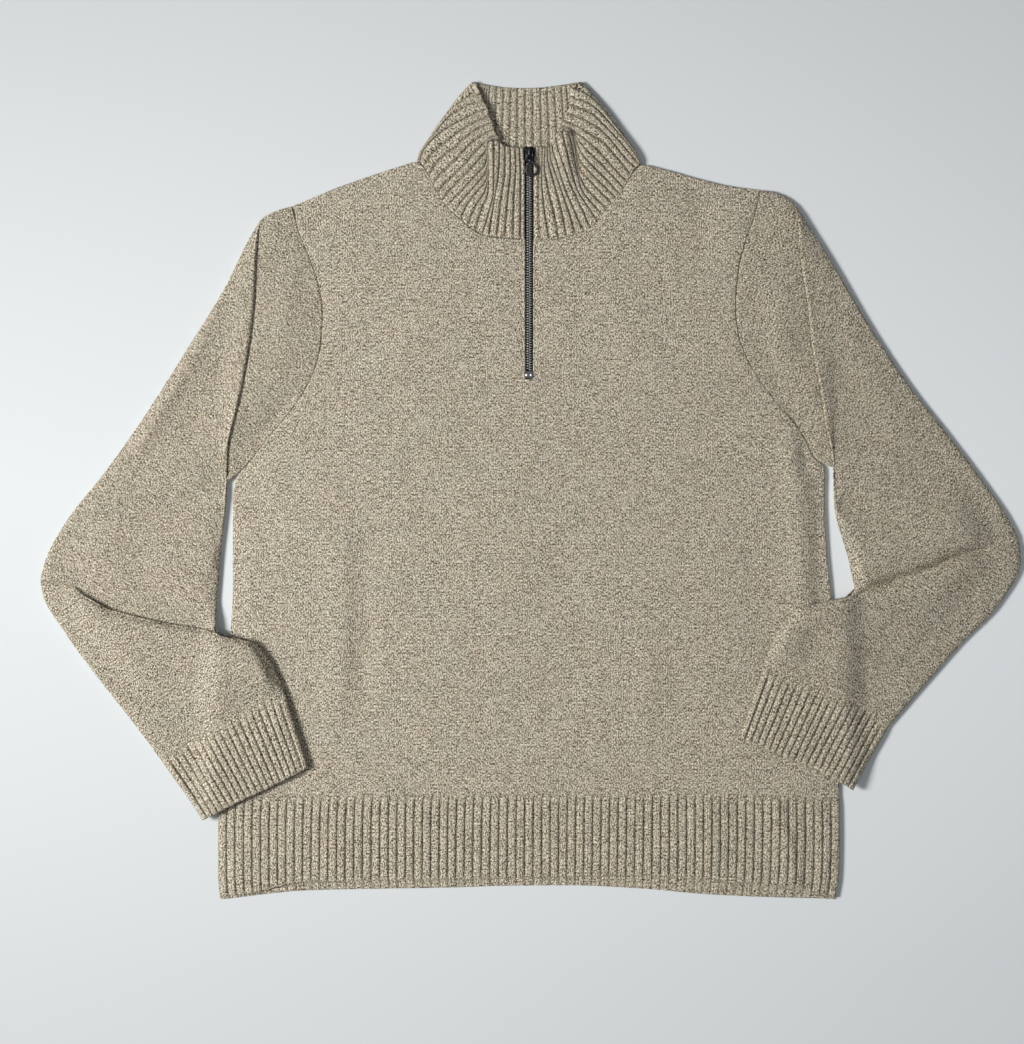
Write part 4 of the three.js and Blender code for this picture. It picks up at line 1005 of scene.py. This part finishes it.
COLLAR_FOLDS = [
    ([(562, 132), (565, 160), (572, 200)], 3.4, 7, 7, 0.01, 0.6),
    ([(553, 140), (553, 165), (556, 200)], -0.6, 4, 5, 0.05, 0.5),
    ([(574, 131), (577, 150), (581, 178), (590, 196)], -2.8, 4, 5, 0.01, 0.5),
    ([(571, 130), (578, 134), (587, 138)], -1.3, 2.6, 2.6, 0.01, 0.5),
    ([(490.0, 141), (490.8, 165), (492.2, 190), (487, 212)], 2.0, 10, 2.0, 0.01, 0.5),
    ([(487.2, 141.5), (487.4, 165), (487.2, 184)], -1.7, 1.4, 5.5, 0.01, 0.25),
    ([(500, 165), (498, 195), (488, 228)], 0.5, 9, 9),
    ([(452, 118), (462, 150), (470, 190)], 0.5, 16, 16),
    ([(615, 140), (600, 160), (592, 200)], 0.6, 12, 16),
]
front = np.clip(1 - share * 1.0, 0, 1)[None]
Fz = mix(4.8, 6.8, R2) + 1.5
rel = (soft(cx, cy, COLLAR_FOLDS) + 0.22 * waves(cx, cy, 45, 61) + 0.12 * waves(cx, cy, 15, 62)) * (front > 0.98) * smooth(R2 * 90 / 8)
Mz = mix(Fz, 1.5, share[None]) + rel + 0.5 * (share[None] > 0.99) * smooth(R2) * 0
M = C2 - outw[None] * (1.6 * np.sin(turn))[None, :, None]
e_r = np.minimum(R2, 1 - R2) * 88 * 0.94
e_r0, e_r1 = R2 * 88 * 0.94, (1 - R2) * 88 * 0.94
zipd = np.minimum(cx * 0 + (H2 - IDX[0]) * 7.2, (IDX[-1] - H2) * 7.6) * 0.94
half = 1.5 * np.minimum(rnd(e_r1, 2.6), np.minimum(rnd(e_r0, 2.0), rnd(zipd, 2.0)))
strength = smooth((pitch - 1.2) / 2.4)
ge = groove(H2, 0.12) * strength * smooth(e_r0 / 3) * (0.35 + 0.65 * smooth(e_r1 / 3)) * np.where((H2 < -0.3) | (H2 > 66.3), 0, 1)
up3 = np.cos(turn)[None, :, None]
out3 = np.sin(turn)[None, :, None]


def skin(thick):
    xy = M + outw[None] * (thick[..., None] * out3 / 0.94)
    z = Mz + thick * up3[..., 0]
    return np.concatenate([xy, np.maximum(z, 0.0)[..., None]], -1)


seam_dip = 0.55 * np.exp(-(e_r0 / 2.6) ** 2)
zero = half < 1e-6
outer = skin(np.where(zero, 0, half - 1.75 * ge * half / 1.5 - seam_dip * half / 1.5))
inner = skin(np.where(zero, 0, -(half - 1.0 * ge * half / 1.5 * (share[None] > 0.5))))
along = R2 * 90
uvc = rib_uv(H2, along)
collar = make("collar_rib", [(outer, uvc), (inner, uvc, True)], RIBM, replaces=["collar"])


# ---------------------------------------------------------------- zip
ZX = -0.001504


def zipZ(py):
    return mix(6.8, 4.8, np.clip((py - 150) / 95, 0, 1))


def solid(name, build, mat, body="garment", replaces=(), bevel=0.0, segments=2, matrix=None):
    bm = bmesh.new()
    build(bm)
    if bevel:
        sharp = [e for e in bm.edges if len(e.link_faces) == 2 and e.calc_face_angle(0) > 0.6]
        bmesh.ops.bevel(bm, geom=sharp, offset=bevel, segments=segments, profile=0.6, affect="EDGES", clamp_overlap=True)
    bmesh.ops.recalc_face_normals(bm, faces=bm.faces)
    if matrix is not None:
        bm.transform(matrix)
    for f in bm.faces:
        f.smooth = True
    me = bpy.data.meshes.new(name)
    bm.to_mesh(me)
    bm.free()
    me.materials.append(mat)
    ob = bpy.data.objects.new(name, me)
    bpy.context.scene.collection.objects.link(ob)
    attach(ob, body)
    if replaces:
        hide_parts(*replaces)
    ALL.append(ob)
    return ob


def block(bm, x0, x1, y0, y1, z0, z1, tilt=0.0, taper=0.0):
    """A box in metres; taper narrows its end at x1."""
    v = []
    for x, ty in ((x0, 0), (x1, taper)):
        m, h = (y0 + y1) / 2, (y1 - y0) / 2 * (1 - ty)
        for y in (m - h, m + h):
            for z in (z0, z1):
                v.append(bm.verts.new((x, y, z + (y * tilt))))
    for q in ((0, 1, 3, 2), (4, 6, 7, 5), (0, 4, 5, 1), (2, 3, 7, 6), (0, 2, 6, 4), (1, 5, 7, 3)):
        bm.faces.new([v[i] for i in q])


def teeth(bm):
    y = (490.77 - 164.3) * STEP
    end = (490.77 - 370.4) * STEP
    k = 0
    while y > end:
        side = -1 if k % 2 == 0 else 1
        py = 490.77 - y / STEP
        z = zipZ(py) * MM
        x0, x1 = ZX + side * 2.5 * MM, ZX - side * 0.25 * MM
        if side > 0:
            x0, x1 = ZX + 2.5 * MM, ZX - 0.25 * MM
        block(bm, x0, x1, y - 0.38 * MM, y + 0.38 * MM, z + 0.1 * MM, z + 2.2 * MM, taper=0.2)
        y -= 1.17 * MM
        k += 1


zip_teeth = solid("zip_teeth", teeth, TEETH, replaces=["zip_chain"], bevel=0.00028, segments=2)


def tape(name, side, node):
    ys = np.linspace(150.6, 383.8, 60)
    xs = np.array([0.3, 0.7, 1.5, 3, 5, 8, 11, 11.8, 12.1]) * side
    S, Xx = np.meshgrid(ys, xs, indexing="ij")
    z = zipZ(S) - 0.85
    ed = np.minimum(np.minimum(np.abs(Xx) - 0.3, 12.1 - np.abs(Xx)), np.minimum(S - 150.6, 383.8 - S))
    h = 0.5 * rnd(ed, 0.8)
    P = np.stack([530.8 + (ZX / STEP) + Xx / 0.94, S], -1)
    a = np.concatenate([P, (z + h)[..., None]], -1)
    b = np.concatenate([P, (z - h)[..., None]], -1)
    return make(name, [(a, panel_uv(a)), (b, panel_uv(b), True)], TAPE, replaces=[node])


zip_tape_left = tape("zip_tape_left_cloth", -1, "zip_tape_left")
zip_tape_right = tape("zip_tape_right_cloth", 1, "zip_tape_right")


def stop(bm):
    y1, y0 = (490.77 - 371.3) * STEP, (490.77 - 378.4) * STEP
    z = 4.85 * MM
    block(bm, ZX - 3.6 * MM, ZX + 3.6 * MM, y0 + 0.3 * MM, y1 - 0.3 * MM, z, z + 1.9 * MM)
    block(bm, ZX - 3.65 * MM, ZX - 0.45 * MM, y0, y1, z + 0.5 * MM, z + 2.9 * MM)
    block(bm, ZX + 0.45 * MM, ZX + 3.65 * MM, y0, y1, z + 0.5 * MM, z + 2.9 * MM)


zip_stop = solid("zip_end_stop", stop, STEEL, replaces=["zip_stop"], bevel=0.0006, segments=3)

AXIS = (ZX, 0.317974, 0.01255)


def prism(bm, pts, z0, z1):
    """A plate with the outline pts, from z0 to z1."""
    a = [bm.verts.new((x, y, z0)) for x, y in pts]
    b = [bm.verts.new((x, y, z1)) for x, y in pts]
    bm.faces.new(a[::-1])
    bm.faces.new(b)
    n = len(pts)
    for i in range(n):
        bm.faces.new((a[i], a[(i + 1) % n], b[(i + 1) % n], b[i]))


def slider(bm):
    top, foot = 0.32307, 0.30817
    half = [(4.05, top - 0.0008), (4.1, top - 0.005), (3.7, foot + 0.005), (2.9, foot + 0.0012), (2.2, foot)]
    out = [(ZX + x * MM, y) for x, y in half] + [(ZX - x * MM, y) for x, y in half[::-1]] + [(ZX - 2.6 * MM, top + 0.0), (ZX, top - 0.0012), (ZX + 2.6 * MM, top)]
    prism(bm, out, 0.0069, 0.0080)
    prism(bm, out, 0.0093, 0.01062)
    prism(bm, [(ZX + x * MM, y) for x, y in ((1.2, top - 0.002), (0.5, top - 0.007), (-0.5, top - 0.007), (-1.2, top - 0.002))], 0.0079, 0.0094)
    for s in (-1, 1):
        block(bm, ZX + s * 3.2 * MM, ZX + s * 3.75 * MM, foot + 0.001, foot + 0.007, 0.0079, 0.0094)


zip_slider = solid("zip_slider_body", slider, GUN, replaces=["zip_slider"], bevel=0.00035, segments=3)


def bridge(bm):
    n = 28
    ringsO, ringsI = [], []
    for k in range(n):
        a = math.tau * k / n
        c, s = math.cos(a), math.sin(a)
        e = 0.62
        oy = math.copysign(abs(c) ** e, c) * 4.0 - 0.15
        oz = math.copysign(abs(s) ** e, s) * 2.05 + 12.65
        iy = math.copysign(abs(c) ** e, c) * 1.95
        iz = math.copysign(abs(s) ** e, s) * 1.38 + 12.36
        ringsO.append((oy, oz))
        ringsI.append((iy, iz))
    v = {}
    for side in (-1, 1):
        for nm, R in (("o", ringsO), ("i", ringsI)):
            for k, (y, z) in enumerate(R):
                v[side, nm, k] = bm.verts.new((ZX + side * 0.98 * MM, AXIS[1] + y * MM, z * MM))
    for k in range(n):
        j = (k + 1) % n
        bm.faces.new((v[-1, "o", k], v[-1, "o", j], v[1, "o", j], v[1, "o", k]))
        bm.faces.new((v[-1, "i", j], v[-1, "i", k], v[1, "i", k], v[1, "i", j]))
        for s in (-1, 1):
            bm.faces.new((v[s, "o", k], v[s, "i", k], v[s, "i", j], v[s, "o", j]))


zip_bridge = solid("zip_slider_bridge", bridge, GUN, bevel=0.0003, segments=2)


def pull(bm):
    # the bar in the bridge
    m = Matrix.Rotation(math.pi / 2, 4, "Y")
    bmesh.ops.create_cone(bm, cap_ends=True, segments=20, radius1=0.00074, radius2=0.00074, depth=0.006, matrix=m)
    for s in (-1, 1):
        block(bm, (s * 2.6 - 0.62) * MM, (s * 2.6 + 0.62) * MM, -0.0082, 0.0004 + 0.0005, -0.00058, 0.00058)
    block(bm, -0.0032, 0.0032, -0.0091, -0.0070, -0.00058, 0.00058)


def ring(bm):
    n, m = 56, 12
    V = []
    for k in range(n):
        a = math.tau * k / n
        top = abs((a - math.pi / 2 + math.pi) % math.tau - math.pi)
        r = 5.15 + 2.4 * math.exp(-(top / 0.42) ** 2)
        hw = 1.2 + 0.3 * math.exp(-(top / 0.5) ** 2)
        row = []
        for j in range(m):
            b = math.tau * j / m
            cr = math.copysign(abs(math.cos(b)) ** 0.7, math.cos(b)) * hw
            cz = math.copysign(abs(math.sin(b)) ** 0.7, math.sin(b)) * 0.58
            row.append(bm.verts.new(((r + cr) * math.cos(a) * MM, ((r + cr) * math.sin(a) - 17.1) * MM, cz * MM)))
        V.append(row)
    for k in range(n):
        for j in range(m):
            bm.faces.new((V[k][j], V[(k + 1) % n][j], V[(k + 1) % n][(j + 1) % m], V[k][(j + 1) % m]))


PULL_M = Matrix.Translation(AXIS) @ Matrix.Rotation(math.radians(5.4), 4, "X") @ Matrix.Rotation(math.radians(8.7), 4, "Z")
zip_pull = solid("zip_pull_arms", pull, GUN, body="pull_tab", replaces=["zip_pull"], bevel=0.00028, segments=3, matrix=PULL_M)
zip_ring = solid("zip_pull_ring", ring, GUN, body="pull_tab", matrix=PULL_M)


# ---------------------------------------------------------------- floor, light and camera
def floor_painted_light(name, color, rough=0.9):
    g = Graph(name)
    geo = g.node("ShaderNodeTexCoord").outputs["Object"]
    sx = g.node("ShaderNodeSeparateXYZ")
    g.put(sx.inputs[0], geo)
    # painted light and shade: the floor colour is darker to the left, where the key lamp is stronger, and darker
    # towards the top and bottom
    across = g.math("ADD", g.math("MULTIPLY", sx.outputs[0], 1.0), 0.5, clamp=True)
    col = g.ramp(across, [(0.0, tuple(c * 0.80 for c in color)), (1.0, color)])
    down = g.math("ADD", g.math("MULTIPLY", sx.outputs[1], -1.1), 0.5, clamp=True)
    col = g.mixc("MULTIPLY", 1.0, col, g.ramp(down, [(0.0, (0.86, 0.86, 0.86)), (0.5, (0.98, 0.98, 0.98)), (1.0, (0.90, 0.90, 0.90))]))
    b = g.node("ShaderNodeBsdfPrincipled")
    g.put(b.inputs["Base Color"], col)
    b.inputs["Roughness"].default_value = rough
    b.inputs["Specular IOR Level"].default_value = 0.1
    return g.finish(b)


bpy.ops.mesh.primitive_plane_add(size=8, location=(0, 0, 0))
floor = bpy.context.object
floor.name = "floor"
floor.data.materials.append(floor_painted_light("pale_floor_painted_light", (0.93, 0.97, 0.995)))

world_ = bpy.data.worlds.new("soft_room")
bpy.context.scene.world = world_
wt = nodes_of(world_) if hasattr(world_, "use_nodes") else None
bg = wt.nodes.new("ShaderNodeBackground")
bg.inputs["Color"].default_value = (0.92, 0.96, 1.0, 1)
bg.inputs["Strength"].default_value = 0.18
wo = wt.nodes.new("ShaderNodeOutputWorld")
wt.links.new(bg.outputs[0], wo.inputs[0])


def area_light(name, loc, target, size, power, color):
    la = bpy.data.lights.new(name, "AREA")
    la.shape = "RECTANGLE"
    la.size, la.size_y = size
    la.energy = power
    la.color = color
    ob = bpy.data.objects.new(name, la)
    bpy.context.scene.collection.objects.link(ob)
    ob.location = loc
    ob.rotation_euler = (Vector(target) - Vector(loc)).to_track_quat("-Z", "Y").to_euler()
    return ob


key = area_light("key", (-2.2, -0.1, 2.1), (-0.2, 0.0, 0), (0.8, 0.8), 23.2, (1.0, 0.985, 0.96))
key.data.spread = math.radians(90)
area_light("fill", (0.2, -0.3, 2.6), (0, 0, 0), (2.5, 2.5), 5.4, (0.95, 0.98, 1.0))

cam_data = bpy.data.cameras.new("camera")
cam = bpy.data.objects.new("camera", cam_data)
bpy.context.scene.collection.objects.link(cam)
cam.location = (-0.01767, -0.02936, 2.206)
cam.rotation_euler = (0, 0, 0)
cam_data.sensor_fit = "VERTICAL"
cam_data.sensor_height = 24
cam_data.lens = 53.80
cam_data.clip_end = 20
bpy.context.scene.camera = cam
bpy.context.scene.view_settings.view_transform = "Standard"
bpy.context.scene.view_settings.look = "None"
bpy.context.scene.view_settings.exposure = 0
bpy.context.scene.view_settings.gamma = 1
